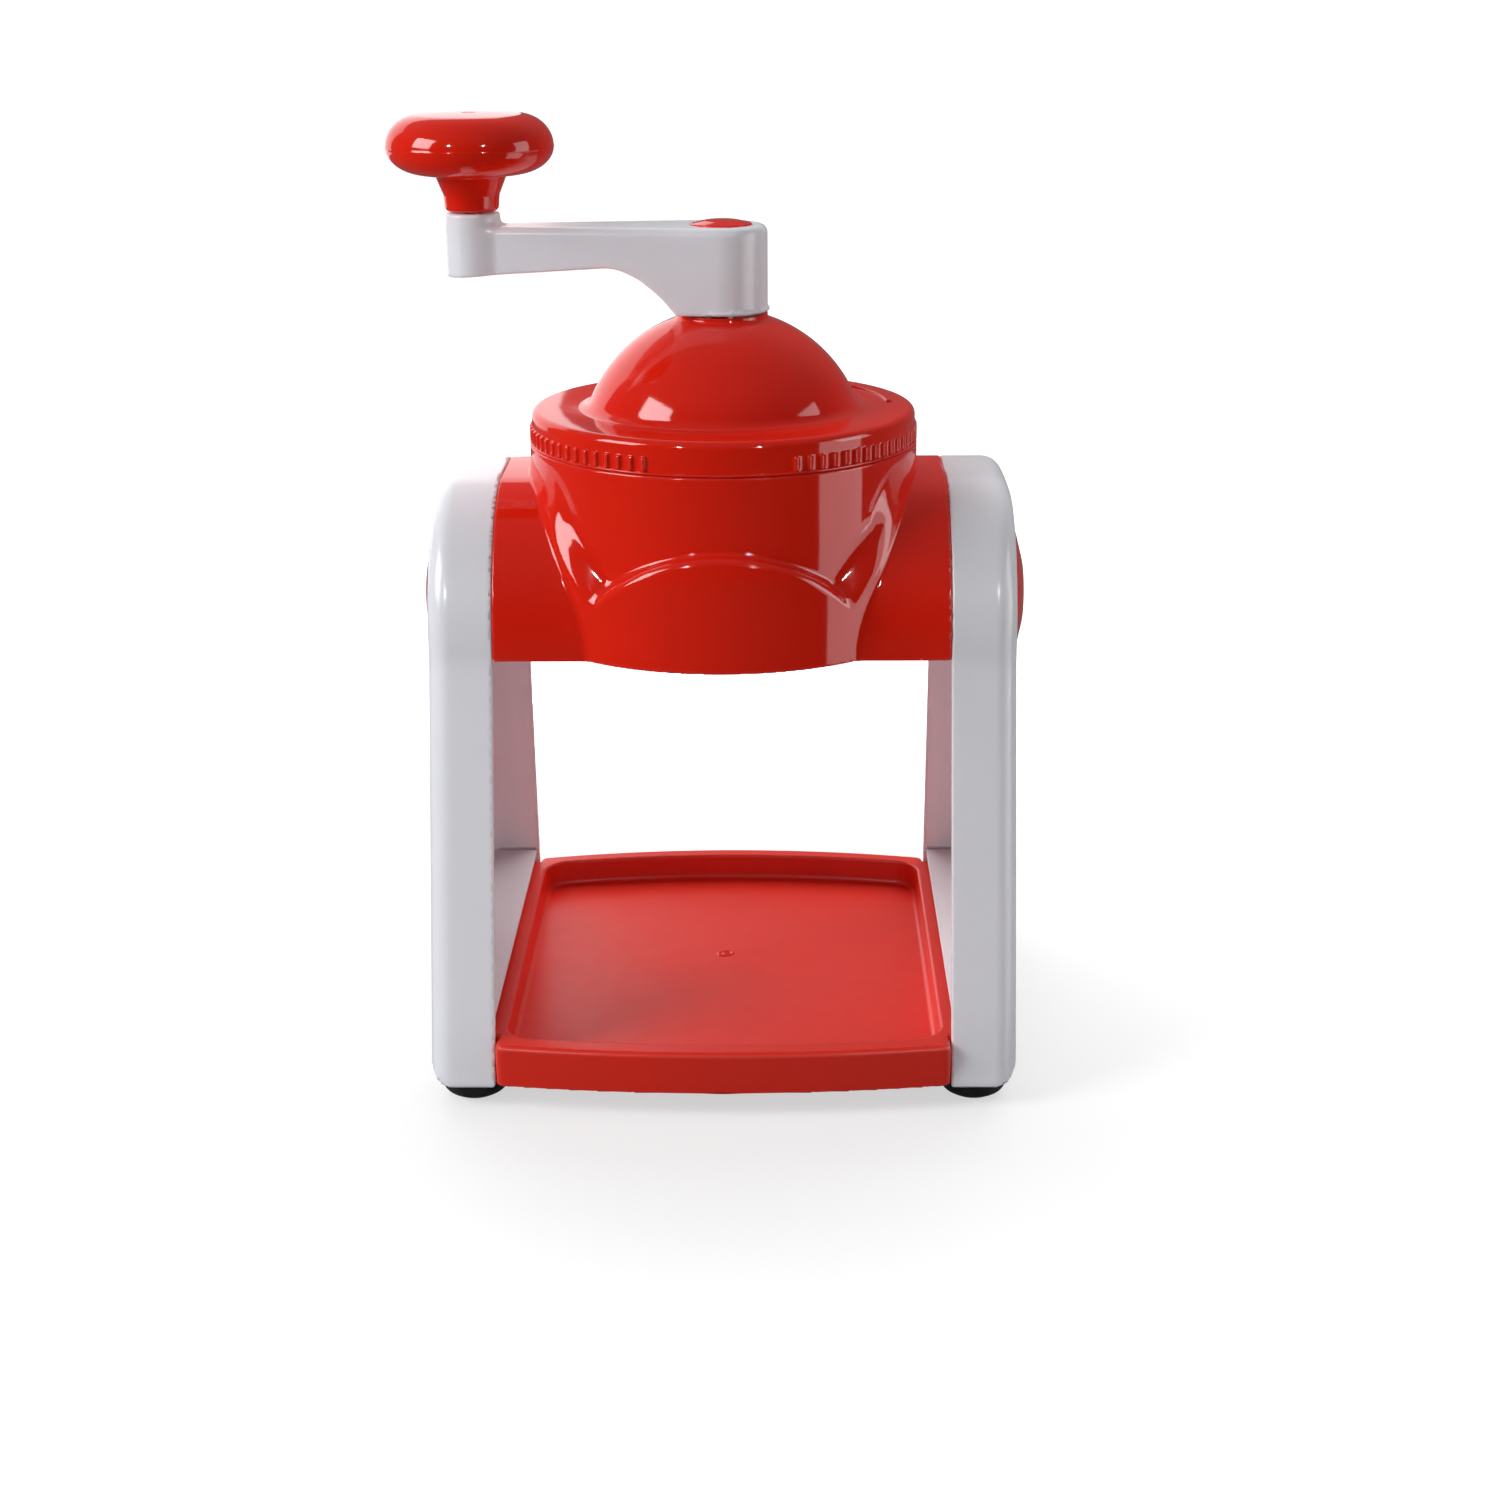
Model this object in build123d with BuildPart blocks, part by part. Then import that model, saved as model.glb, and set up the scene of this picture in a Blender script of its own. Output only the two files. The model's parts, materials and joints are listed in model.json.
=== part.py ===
from build123d import *
import math
import os

# Hand-cranked shaved ice machine: a stand of two side panels and a tray carries a
# hopper body with a blade plate; a lift-off lid carries the crank, shaft and gripper.
# Millimetres. +Z is up, the front looks along -Y, the crank rests towards -X.
# The origin is the middle of the box that the machine fills, on the table top.
# Every height is from the table; x and y below are from the hopper's axis.

AXIS_X = 3.3               # the hopper's axis in the frame
AXIS_Y = 5.7

# Side panels
HALF_GAP = 80.3            # inner faces
PANEL_W = 23.3
PANEL_BOTTOM = 8.0
PANEL_WALL = 2.5
PANEL_ROUND = 8.0          # rounding of the outer edge
FRONT_TOE = 100.0          # reach of the side outline at the bottom
REAR_TOE = 88.0
FRONT_SIDE = 59.0          # and at the body
REAR_SIDE = 69.0
KNEE_Z = 152.0             # where the legs start to spread
KNEE_R = 40.0
SHOULDER_Z = 204.0
CROWN_Z = 208.5
SHOULDER_R = 48.0
ARCH_MID = (REAR_SIDE - FRONT_SIDE) / 2
OUTER_X = HALF_GAP + PANEL_W
FLOOR_TOP = PANEL_BOTTOM + PANEL_WALL
RIB_Z = 28.5               # level rib across each panel, above the tray
RIB_X = 86.8

# Screwed joint of panel and body, under a round cap
SCREW_Z = 161.0
BOSS_X = 84.3              # end of the body's boss, where the panel's cup stands
CUP_R = 13.0
CUP_FLOOR = 2.7
END_BOSS_R = 8.0
END_BOSS_IN = 69.0
SIDE_SCREW_R = 2.6
SIDE_SCREW_HEAD = 6.0
CAP_R = 28.0
CAP_RIM = 2.0
CAP_DOME = 7.4

# Tray
TRAY_BOTTOM = 9.0
TRAY_TOP = 24.4
TRAY_FLOOR = 14.4
TRAY_HALF = 80.0           # half width between the panels
TONGUE_HALF = 86.0         # half width inside them
TONGUE_Y = (-91.5, 82.0)
TRAY_FRONT = 100.5
TRAY_REAR = 86.0
FRONT_BOW = 6.5
REAR_BOW = 9.6
TRAY_WALL = 2.4
RIM_W = 9.0
TRAY_SCREWS = [(side * 73.0, y) for side in (-1, 1) for y in (-50.0, 40.0)]
TRAY_SCREW_R = 1.4
TAB_IN = 66.0

# Feet
FOOT_R = 12.4
FOOT_STEM_R = 2.0
FEET = {
    "front_left": (-89.0, -84.0),
    "front_right": (89.0, -84.0),
    "rear_left": (-89.0, 71.0),
    "rear_right": (89.0, 71.0),
}

# Hopper body
BODY_BOTTOM = 152.5
BODY_TOP = 220.0
BODY_WALL = 2.5
HOPPER_R = 70.0
HOPPER_IN = 67.2
COLLAR_R = 76.3            # collar that swells around the foot of the hopper
COLLAR_FOOT_R = 75.7
COLLAR_TOP = 207.5
FACET = (64.5, 40.0, 201.7)          # a point on the collar's slanting facets
FACET_NORMAL = (0.417, 0.837, 0.352)
WINDOW_Z = 171.0           # bare stretch of the hopper between the facets
WINDOW_FOOT = 47.0         # its half width at the foot
WINDOW_HEAD = 56.0         # and at the top
MOON_R = 61.6              # arch of the half-moon on the front and the rear
MOON_Z = 131.6
GROOVE = (70.3, 73.6)      # hollow inside the collar, open below
GROOVE_TOP = 166.0
LEDGE_IN = 59.0
LEDGE_TOP = 158.5
LEDGE_T = 2.6

# Blade plate and blade
PLATE_T = 1.6
PLATE_TOP = LEDGE_TOP + PLATE_T
PLATE_R = 66.8
SLOT = (7.0, 53.0, -1.0, 9.0)        # x from, to; y from, to
BLADE_X = (8.0, 52.0)
BLADE_T = 1.6
BLADE_HEEL = 24.0
BLADE_EDGE = (0.6, PLATE_TOP + 0.8)
SMALL_SCREW_R = 1.5
SMALL_HEAD_R = 3.0
PLATE_SCREW_PCR = 63.0
BLADE_SCREWS = [(18.0, 17.0), (42.0, 17.0)]

# Lid
LID_BOTTOM = 220.2
LID_R = 70.0
SKIRT_R = 69.2
LIP_H = 0.8
LID_TOP = 232.0            # top of the flat ring
LID_WALL = 2.5
DOME_R = 52.1
DOME_Z = 214.2
NECK_R = 16.2
NECK_TOP = 265.3
SPIGOT_R = 66.7
SPIGOT_BOTTOM = 212.0
RIB_STEP = 4               # degrees between the grip ribs
RIB_CLEAR = 19             # and half of the bare stretch, front and rear
LID_RIB = (1.6, 1.5, 4.9)
ARROW_R = 60.5
ARROW_FROM = 4.0
ARROW_SWEEP = 38.0
ARROW_RISE = 0.6

# Crank and knob
CRANK_R = 88.2
HUB_R = 16.2
HUB_BOTTOM = 266.0
HUB_TOP = 296.4
BEAD_R = 16.9
ARM_NARROW = 7.4
ARM_WIDE = 14.6
BOSS_R = 9.8
BOSS_TOP = 301.0
BOSS_BOTTOM = 278.6
ARM_WALL = 3.0
CAP_SEAT_R = 11.0
CAP_SEAT_Z = 293.4
WEB_Z = 284.0
KNOB_R = 29.6
KNOB_BOTTOM = 301.3
KNOB_DISC_Z = 312.5
KNOB_TOP = 335.2
STEM_R = 9.0
PIN_R = 3.0
PIN_HEAD_R = 6.0
PIN_HEAD_Z = 281.0
KNOB_ROUND = 9.6
BORE_TOP = 323.0
SNAP_Z = 318.0             # snap groove that holds the knob on its pin
SNAP_R = 3.6
TOP_SCREW_R = 2.0
WELL_R = 6.5
CAP_RISE = 1.6

# Shaft, gripper and spring
RUN = 0.06                 # radial clearance of a running fit
SHAFT_R = 5.0
BUSH_R = 8.2
BUSH_FLANGE_R = 11.0
BUSH_SEAT = 244.0
SQUARE = 8.0
SQUARE_TOP = 232.0
SHAFT_END = 166.0
SHAFT_COLLAR = (239.0, 241.8)
SHAFT_COLLAR_R = 7.5
GRIP_Z = 170.0
GRIP_T = 3.0
GRIP_R = 58.0
GRIP_HUB_R = 13.0
GRIP_HUB = (166.2, 182.0)
SPIKE_TIP = 163.5
SPIKE_R = 1.6
SPIKE_RINGS = [(22.0, 4), (38.0, 6), (52.0, 8)]
SEAT_R = 11.0
SEAT_T = 1.2
SPRING_R = 9.3
WIRE_R = 0.9
SPRING_TURNS = 7

FOOT_POINT = Vector(AXIS_X, AXIS_Y, 0)
LEVEL = Plane(FOOT_POINT)
SIDE = Plane(FOOT_POINT, x_dir=(0, 1, 0), z_dir=(1, 0, 0))       # local x is +Y
FRONT = Plane(FOOT_POINT, x_dir=(1, 0, 0), z_dir=(0, -1, 0))     # local x is +X
MIRROR_X = Plane(FOOT_POINT, z_dir=(1, 0, 0))
TURN = Axis(FOOT_POINT, (0, 0, 1))
KNOB_AXIS = Axis(FOOT_POINT + Vector(-CRANK_R, 0, 0), (0, 0, 1))


def up(height):
    """Horizontal plane through the hopper's axis."""
    return LEVEL.offset(height)


def spot(x, y, z):
    """A point given from the foot of the hopper's axis."""
    return FOOT_POINT + Vector(x, y, z)


def upright(x, y):
    """Vertical plane facing the front through a vertical axis at x, y."""
    return Plane(spot(x, y, 0), x_dir=(1, 0, 0), z_dir=(0, -1, 0))


def crown(radius, rise):
    """Halfway point of a shallow dome's arc: its radius, and its drop from the top."""
    ball = (radius ** 2 + rise ** 2) / (2 * rise)
    half = math.asin(radius / ball) / 2
    return ball * math.sin(half), ball * (1 - math.cos(half))


def side_face(x, bottom, inset=0.0):
    """Side outline that the panels and the body share, on the plane at x."""
    legs = bottom < KNEE_Z
    spread = (KNEE_Z - bottom) / (KNEE_Z - PANEL_BOTTOM) if legs else 0.0
    front = FRONT_SIDE + spread * (FRONT_TOE - FRONT_SIDE)
    rear = REAR_SIDE + spread * (REAR_TOE - REAR_SIDE)
    corners = [(-front, bottom), (rear, bottom)]
    if legs:
        corners = [(-FRONT_SIDE, KNEE_Z)] + corners + [(REAR_SIDE, KNEE_Z)]
    with BuildSketch(SIDE.offset(x)) as face:
        with BuildLine():
            Polyline((-FRONT_SIDE, SHOULDER_Z), *corners, (REAR_SIDE, SHOULDER_Z))
            ThreePointArc((-FRONT_SIDE, SHOULDER_Z), (ARCH_MID, CROWN_Z), (REAR_SIDE, SHOULDER_Z))
        make_face()
        fillet(face.vertices().group_by(Axis.Y)[-1], SHOULDER_R)
        if legs:
            fillet(face.vertices().group_by(Axis.Y)[1], KNEE_R)
        if inset:
            offset(amount=-inset, kind=Kind.INTERSECTION)
    return face.sketch


def collar_face():
    """Half section of the solid collar around the hopper's foot."""
    with BuildSketch(SIDE) as face:
        with BuildLine():
            Polyline(
                (0, BODY_BOTTOM),
                (COLLAR_FOOT_R, BODY_BOTTOM),
                (COLLAR_R, COLLAR_TOP),
                (0, COLLAR_TOP),
                close=True,
            )
        make_face()
    return face.sketch


def bowed_face(height, half, front, rear, corner):
    """Plan of the tray: straight sides, front and rear bowed outwards."""
    with BuildSketch(up(height)) as face:
        with BuildLine():
            Line((-half, rear), (-half, -front))
            ThreePointArc((-half, -front), (0, -front - FRONT_BOW), (half, -front))
            Line((half, -front), (half, rear))
            ThreePointArc((half, rear), (0, rear + REAR_BOW), (-half, rear))
        make_face()
        fillet(face.vertices(), corner)
    return face.sketch


def countersunk_screw(x, y, top, length):
    """Adds a small flat-headed screw to the part in progress."""
    head = SMALL_HEAD_R - SMALL_SCREW_R
    with Locations(spot(x, y, top - head / 2)):
        Cone(SMALL_SCREW_R, SMALL_HEAD_R, head)
    with Locations(spot(x, y, top - head - (length - head) / 2)):
        Cylinder(SMALL_SCREW_R, length - head)


def save(part, name):
    part.label = name
    export_step(part, os.path.join("parts", name + ".step"))


os.makedirs("parts", exist_ok=True)

# ---------------------------------------------------------------- side panels
with BuildPart() as panel_core:
    extrude(side_face(HALF_GAP - 1, PANEL_BOTTOM, PANEL_WALL), amount=PANEL_W - PANEL_WALL + 1)
    fillet(panel_core.faces().sort_by(Axis.X)[-1].edges(), PANEL_ROUND - PANEL_WALL)

with BuildPart() as right_side_panel:
    extrude(side_face(HALF_GAP, PANEL_BOTTOM), amount=PANEL_W)
    fillet(right_side_panel.faces().sort_by(Axis.X)[-1].edges(), PANEL_ROUND)
    add(panel_core.part, mode=Mode.SUBTRACT)
    with BuildSketch(SIDE.offset(BOSS_X)):
        with Locations((ARCH_MID, SCREW_Z)):
            Circle(CUP_R + PANEL_WALL)
    extrude(amount=OUTER_X - BOSS_X - PANEL_WALL / 2)
    with BuildSketch(SIDE.offset(BOSS_X + CUP_FLOOR)):
        with Locations((ARCH_MID, SCREW_Z)):
            Circle(CUP_R)
    extrude(amount=PANEL_W, mode=Mode.SUBTRACT)
    with BuildSketch(SIDE.offset(BOSS_X - 1)):
        with Locations((ARCH_MID, SCREW_Z)):
            Circle(SIDE_SCREW_R + 0.4)
    extrude(amount=CUP_FLOOR + 2, mode=Mode.SUBTRACT)
    with Locations(spot((RIB_X + OUTER_X - 2) / 2, -4.5, RIB_Z)):
        Box(OUTER_X - 2 - RIB_X, 173, 2)
    for x, y in TRAY_SCREWS[2:]:
        with Locations(spot((TAB_IN + HALF_GAP + 2) / 2, y, PANEL_BOTTOM + PANEL_WALL / 2)):
            Box(HALF_GAP + 2 - TAB_IN, 14, PANEL_WALL)
        with Locations(spot(x, y, PANEL_BOTTOM)):
            Cylinder(TRAY_SCREW_R + 0.4, 4 * PANEL_WALL, mode=Mode.SUBTRACT)
    for x, y in (FEET["front_right"], FEET["rear_right"]):
        with Locations(spot(x, y, PANEL_BOTTOM)):
            Cylinder(FOOT_STEM_R, 4 * PANEL_WALL, mode=Mode.SUBTRACT)

with BuildPart() as left_side_panel:
    add(right_side_panel.part)
    mirror(about=MIRROR_X, mode=Mode.REPLACE)

save(right_side_panel.part, "right_side_panel")
save(left_side_panel.part, "left_side_panel")

# ---------------------------------------------------------------------- feet
for place, (x, y) in FEET.items():
    with BuildPart() as foot:
        with BuildSketch(upright(x, y)):
            with BuildLine():
                Line((0, 0), (6.0, 0))
                ThreePointArc((6.0, 0), (10.6, 2.2), (FOOT_R, 6.2))
                Polyline(
                    (FOOT_R, 6.2),
                    (FOOT_R - 0.6, PANEL_BOTTOM),
                    (FOOT_STEM_R, PANEL_BOTTOM),
                    (FOOT_STEM_R, FLOOR_TOP),
                    (FOOT_STEM_R + 0.8, FLOOR_TOP),
                    (1.2, FLOOR_TOP + 5),
                    (0, FLOOR_TOP + 5),
                    (0, 0),
                )
            make_face()
        revolve(axis=Axis(spot(x, y, 0), (0, 0, 1)))
    save(foot.part, "foot_" + place)

# ----------------------------------------------------- side screws and caps
with BuildPart() as side_washers:
    for side in (-1, 1):
        with BuildSketch(SIDE.offset(side * (BOSS_X + CUP_FLOOR))):
            with Locations((ARCH_MID, SCREW_Z)):
                Circle(9.0)
                Circle(SIDE_SCREW_R + 0.4, mode=Mode.SUBTRACT)
        extrude(amount=side * 1.2)
save(side_washers.part, "side_washers")

with BuildPart() as side_screws:
    for side in (-1, 1):
        with BuildSketch(SIDE.offset(side * (END_BOSS_IN + 1))):
            with Locations((ARCH_MID, SCREW_Z)):
                Circle(SIDE_SCREW_R)
        extrude(amount=side * (BOSS_X + CUP_FLOOR + 1.2 - END_BOSS_IN - 1))
        with BuildSketch(SIDE.offset(side * (BOSS_X + CUP_FLOOR + 1.2))):
            with Locations((ARCH_MID, SCREW_Z)):
                Circle(SIDE_SCREW_HEAD)
                RegularPolygon(3.0, 6, mode=Mode.SUBTRACT)
        extrude(amount=side * 3.6)
        with BuildSketch(SIDE.offset(side * (BOSS_X + CUP_FLOOR + 1.2))):
            with Locations((ARCH_MID, SCREW_Z)):
                Circle(SIDE_SCREW_HEAD - 1)
        extrude(amount=side * 1.2)
save(side_screws.part, "side_screws")

dome_half, dome_drop = crown(CAP_R, CAP_DOME - CAP_RIM)
CAP_PLANE = Plane(spot(OUTER_X, ARCH_MID, SCREW_Z), x_dir=(1, 0, 0), z_dir=(0, -1, 0))
with BuildPart() as right_side_cap:
    with BuildSketch(CAP_PLANE) as half:
        with BuildLine():
            Polyline(
                (CAP_DOME - 2.2, 0),
                (CAP_DOME - 3.2, CUP_R - 2.3),
                (-6, CUP_R - 2.3),
                (-6, CUP_R - 0.3),
                (0, CUP_R - 0.3),
                (0, CAP_R),
                (CAP_RIM, CAP_R),
            )
            ThreePointArc((CAP_RIM, CAP_R), (CAP_DOME - dome_drop, dome_half), (CAP_DOME, 0))
            Line((CAP_DOME, 0), (CAP_DOME - 2.2, 0))
        make_face()
        fillet(half.vertices().sort_by_distance((CAP_RIM, CAP_R))[0], 1.4)
    revolve(axis=Axis(CAP_PLANE.origin, (1, 0, 0)))
with BuildPart() as left_side_cap:
    add(right_side_cap.part)
    mirror(about=MIRROR_X, mode=Mode.REPLACE)
save(right_side_cap.part, "right_side_cap")
save(left_side_cap.part, "left_side_cap")

# ---------------------------------------------------------------------- tray
with BuildPart() as base_tray:
    extrude(bowed_face(TRAY_BOTTOM, TRAY_HALF, TRAY_FRONT, TRAY_REAR, 1.5), amount=TRAY_TOP - TRAY_BOTTOM)
    with BuildSketch(up(FLOOR_TOP + 0.2)):
        with Locations((0, sum(TONGUE_Y) / 2)):
            Rectangle(2 * TONGUE_HALF, TONGUE_Y[1] - TONGUE_Y[0])
    extrude(amount=TRAY_TOP - FLOOR_TOP - 0.2)
    fillet(base_tray.faces().sort_by(Axis.Z)[-1].edges(), 1.4)
    with BuildSketch(up(TRAY_BOTTOM)) as hollow:
        with Locations((0, sum(TONGUE_Y) / 2)):
            Rectangle(2 * (TONGUE_HALF - TRAY_WALL), TONGUE_Y[1] - TONGUE_Y[0] - 2 * TRAY_WALL)
        add(bowed_face(0, TRAY_HALF - TRAY_WALL, TRAY_FRONT - TRAY_WALL, TRAY_REAR - TRAY_WALL, 1.5))
    extrude(amount=TRAY_TOP - TRAY_WALL - TRAY_BOTTOM, mode=Mode.SUBTRACT)
    tub = TONGUE_HALF - RIM_W + TRAY_WALL
    well_front = TRAY_FRONT - RIM_W
    well_rear = TRAY_REAR - RIM_W + 1.5
    extrude(
        bowed_face(TRAY_FLOOR - TRAY_WALL, tub, well_front + TRAY_WALL, well_rear + TRAY_WALL, 12),
        amount=TRAY_TOP - TRAY_FLOOR,
    )
    with Locations(*[spot(x, y, (FLOOR_TOP + TRAY_FLOOR) / 2 - 1) for x, y in TRAY_SCREWS]):
        Cylinder(4.0, TRAY_FLOOR - FLOOR_TOP - 2)
    extrude(
        bowed_face(TRAY_FLOOR, TONGUE_HALF - RIM_W, well_front, well_rear, 10),
        amount=TRAY_TOP,
        mode=Mode.SUBTRACT,
    )
    with Locations(*[spot(x, y, FLOOR_TOP) for x, y in TRAY_SCREWS]):
        Cylinder(TRAY_SCREW_R, 6.2, mode=Mode.SUBTRACT)
save(base_tray.part, "base_tray")

with BuildPart() as tray_screws:
    for x, y in TRAY_SCREWS:
        with Locations(spot(x, y, PANEL_BOTTOM - 0.9)):
            Cylinder(3.0, 1.8)
        with Locations(spot(x, y, PANEL_BOTTOM + 2.6)):
            Cylinder(TRAY_SCREW_R, 5.2)
save(tray_screws.part, "tray_screws")

# --------------------------------------------------------------- hopper body
with BuildPart() as collar:
    with BuildSketch(up(BODY_BOTTOM)):
        Rectangle(4 * HOPPER_R, 4 * HOPPER_R)
    extrude(amount=COLLAR_TOP - BODY_BOTTOM)
    for side_x in (-1, 1):
        for side_y in (-1, 1):
            origin = spot(side_x * FACET[0], side_y * FACET[1], FACET[2])
            normal = (side_x * FACET_NORMAL[0], side_y * FACET_NORMAL[1], FACET_NORMAL[2])
            with BuildSketch(Plane(origin, z_dir=normal)):
                Rectangle(300, 300)
            extrude(amount=140, mode=Mode.SUBTRACT)
    with BuildSketch(FRONT):
        with BuildLine():
            Polyline(
                (-WINDOW_FOOT, WINDOW_Z),
                (WINDOW_FOOT, WINDOW_Z),
                (WINDOW_HEAD, COLLAR_TOP + 1),
                (-WINDOW_HEAD, COLLAR_TOP + 1),
                close=True,
            )
        make_face()
    extrude(amount=2 * HOPPER_R, both=True, mode=Mode.SUBTRACT)
    with BuildSketch(FRONT) as half_moon:
        with Locations((0, MOON_Z)):
            Circle(MOON_R)
        with Locations((0, BODY_BOTTOM + 1 - MOON_R)):
            Rectangle(2 * MOON_R, 2 * MOON_R, mode=Mode.SUBTRACT)
    extrude(amount=2 * HOPPER_R, both=True)
    revolve(collar_face(), axis=TURN, mode=Mode.INTERSECT)

with BuildPart() as hopper_body:
    extrude(side_face(-HALF_GAP, BODY_BOTTOM), amount=2 * HALF_GAP)
    extrude(
        side_face(BODY_WALL - HALF_GAP, BODY_BOTTOM - 10, BODY_WALL),
        amount=2 * (HALF_GAP - BODY_WALL),
        mode=Mode.SUBTRACT,
    )
    for side in (-1, 1):
        with BuildSketch(SIDE.offset(side * END_BOSS_IN)):
            with Locations((ARCH_MID, SCREW_Z)):
                Circle(END_BOSS_R)
        extrude(amount=side * (BOSS_X - END_BOSS_IN))
    add(collar.part)
    with BuildSketch(up(BODY_BOTTOM)):
        Circle(HOPPER_R)
    extrude(amount=BODY_TOP - BODY_BOTTOM)
    with BuildSketch(up(BODY_BOTTOM)):
        Circle(GROOVE[1])
        Circle(GROOVE[0], mode=Mode.SUBTRACT)
    extrude(amount=GROOVE_TOP - BODY_BOTTOM, mode=Mode.SUBTRACT)
    with BuildSketch(up(BODY_BOTTOM)):
        Circle(HOPPER_IN)
    extrude(amount=BODY_TOP, mode=Mode.SUBTRACT)
    with BuildSketch(up(LEDGE_TOP - LEDGE_T)):
        Circle(HOPPER_IN + 0.5)
        Circle(LEDGE_IN, mode=Mode.SUBTRACT)
        with PolarLocations(PLATE_SCREW_PCR, 4, 45):
            Circle(SMALL_SCREW_R, mode=Mode.SUBTRACT)
    extrude(amount=LEDGE_T)
    for side in (-1, 1):
        with BuildSketch(SIDE.offset(side * (END_BOSS_IN + 1))):
            with Locations((ARCH_MID, SCREW_Z)):
                Circle(SIDE_SCREW_R)
        extrude(amount=side * 2 * END_BOSS_R, mode=Mode.SUBTRACT)
save(hopper_body.part, "hopper_body")

# --------------------------------------------------------- blade plate, blade
corner = PLATE_SCREW_PCR * 0.5 ** 0.5
PLATE_SCREWS = [(side_x * corner, side_y * corner) for side_x in (-1, 1) for side_y in (-1, 1)]
with BuildPart() as blade_plate:
    with BuildSketch(up(LEDGE_TOP)):
        Circle(PLATE_R)
        with Locations(((SLOT[0] + SLOT[1]) / 2, (SLOT[2] + SLOT[3]) / 2)):
            Rectangle(SLOT[1] - SLOT[0], SLOT[3] - SLOT[2], mode=Mode.SUBTRACT)
    extrude(amount=PLATE_T)
    with Locations(*[spot(x, y, PLATE_TOP) for x, y in PLATE_SCREWS + BLADE_SCREWS]):
        CounterSinkHole(SMALL_SCREW_R, SMALL_HEAD_R, counter_sink_angle=90)
save(blade_plate.part, "blade_plate")

with BuildPart() as blade:
    with BuildSketch(SIDE.offset(BLADE_X[0])):
        with BuildLine():
            Polyline(
                (BLADE_HEEL, LEDGE_TOP - BLADE_T),
                (BLADE_HEEL, LEDGE_TOP),
                (SLOT[3], LEDGE_TOP),
                BLADE_EDGE,
                (SLOT[3] - 0.8, LEDGE_TOP - BLADE_T),
                close=True,
            )
        make_face()
    extrude(amount=BLADE_X[1] - BLADE_X[0])
    with Locations(*[spot(x, y, LEDGE_TOP) for x, y in BLADE_SCREWS]):
        Cylinder(SMALL_SCREW_R, 8, mode=Mode.SUBTRACT)
save(blade.part, "blade")

with BuildPart() as plate_screws:
    for x, y in PLATE_SCREWS:
        countersunk_screw(x, y, PLATE_TOP, 6.5)
save(plate_screws.part, "plate_screws")

with BuildPart() as blade_screws:
    for x, y in BLADE_SCREWS:
        countersunk_screw(x, y, PLATE_TOP, 6.5)
save(blade_screws.part, "blade_screws")

with BuildPart() as blade_nuts:
    with BuildSketch(up(LEDGE_TOP - BLADE_T)):
        with Locations(*BLADE_SCREWS):
            RegularPolygon(3.2, 6)
            Circle(SMALL_SCREW_R, mode=Mode.SUBTRACT)
    extrude(amount=-2.2)
save(blade_nuts.part, "blade_nuts")

# ----------------------------------------------------------------------- lid
dome_base = (DOME_R ** 2 - (LID_TOP - DOME_Z) ** 2) ** 0.5
dome_neck_z = DOME_Z + (DOME_R ** 2 - NECK_R ** 2) ** 0.5
inner_r = DOME_R - LID_WALL
inner_top = LID_TOP - LID_WALL
inner_base = (inner_r ** 2 - (inner_top - DOME_Z) ** 2) ** 0.5
DIAGONAL = 0.5 ** 0.5
rib_angles = [a for a in range(0, 360, RIB_STEP) if min(abs(a - 90), abs(a - 270)) > RIB_CLEAR]

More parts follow.
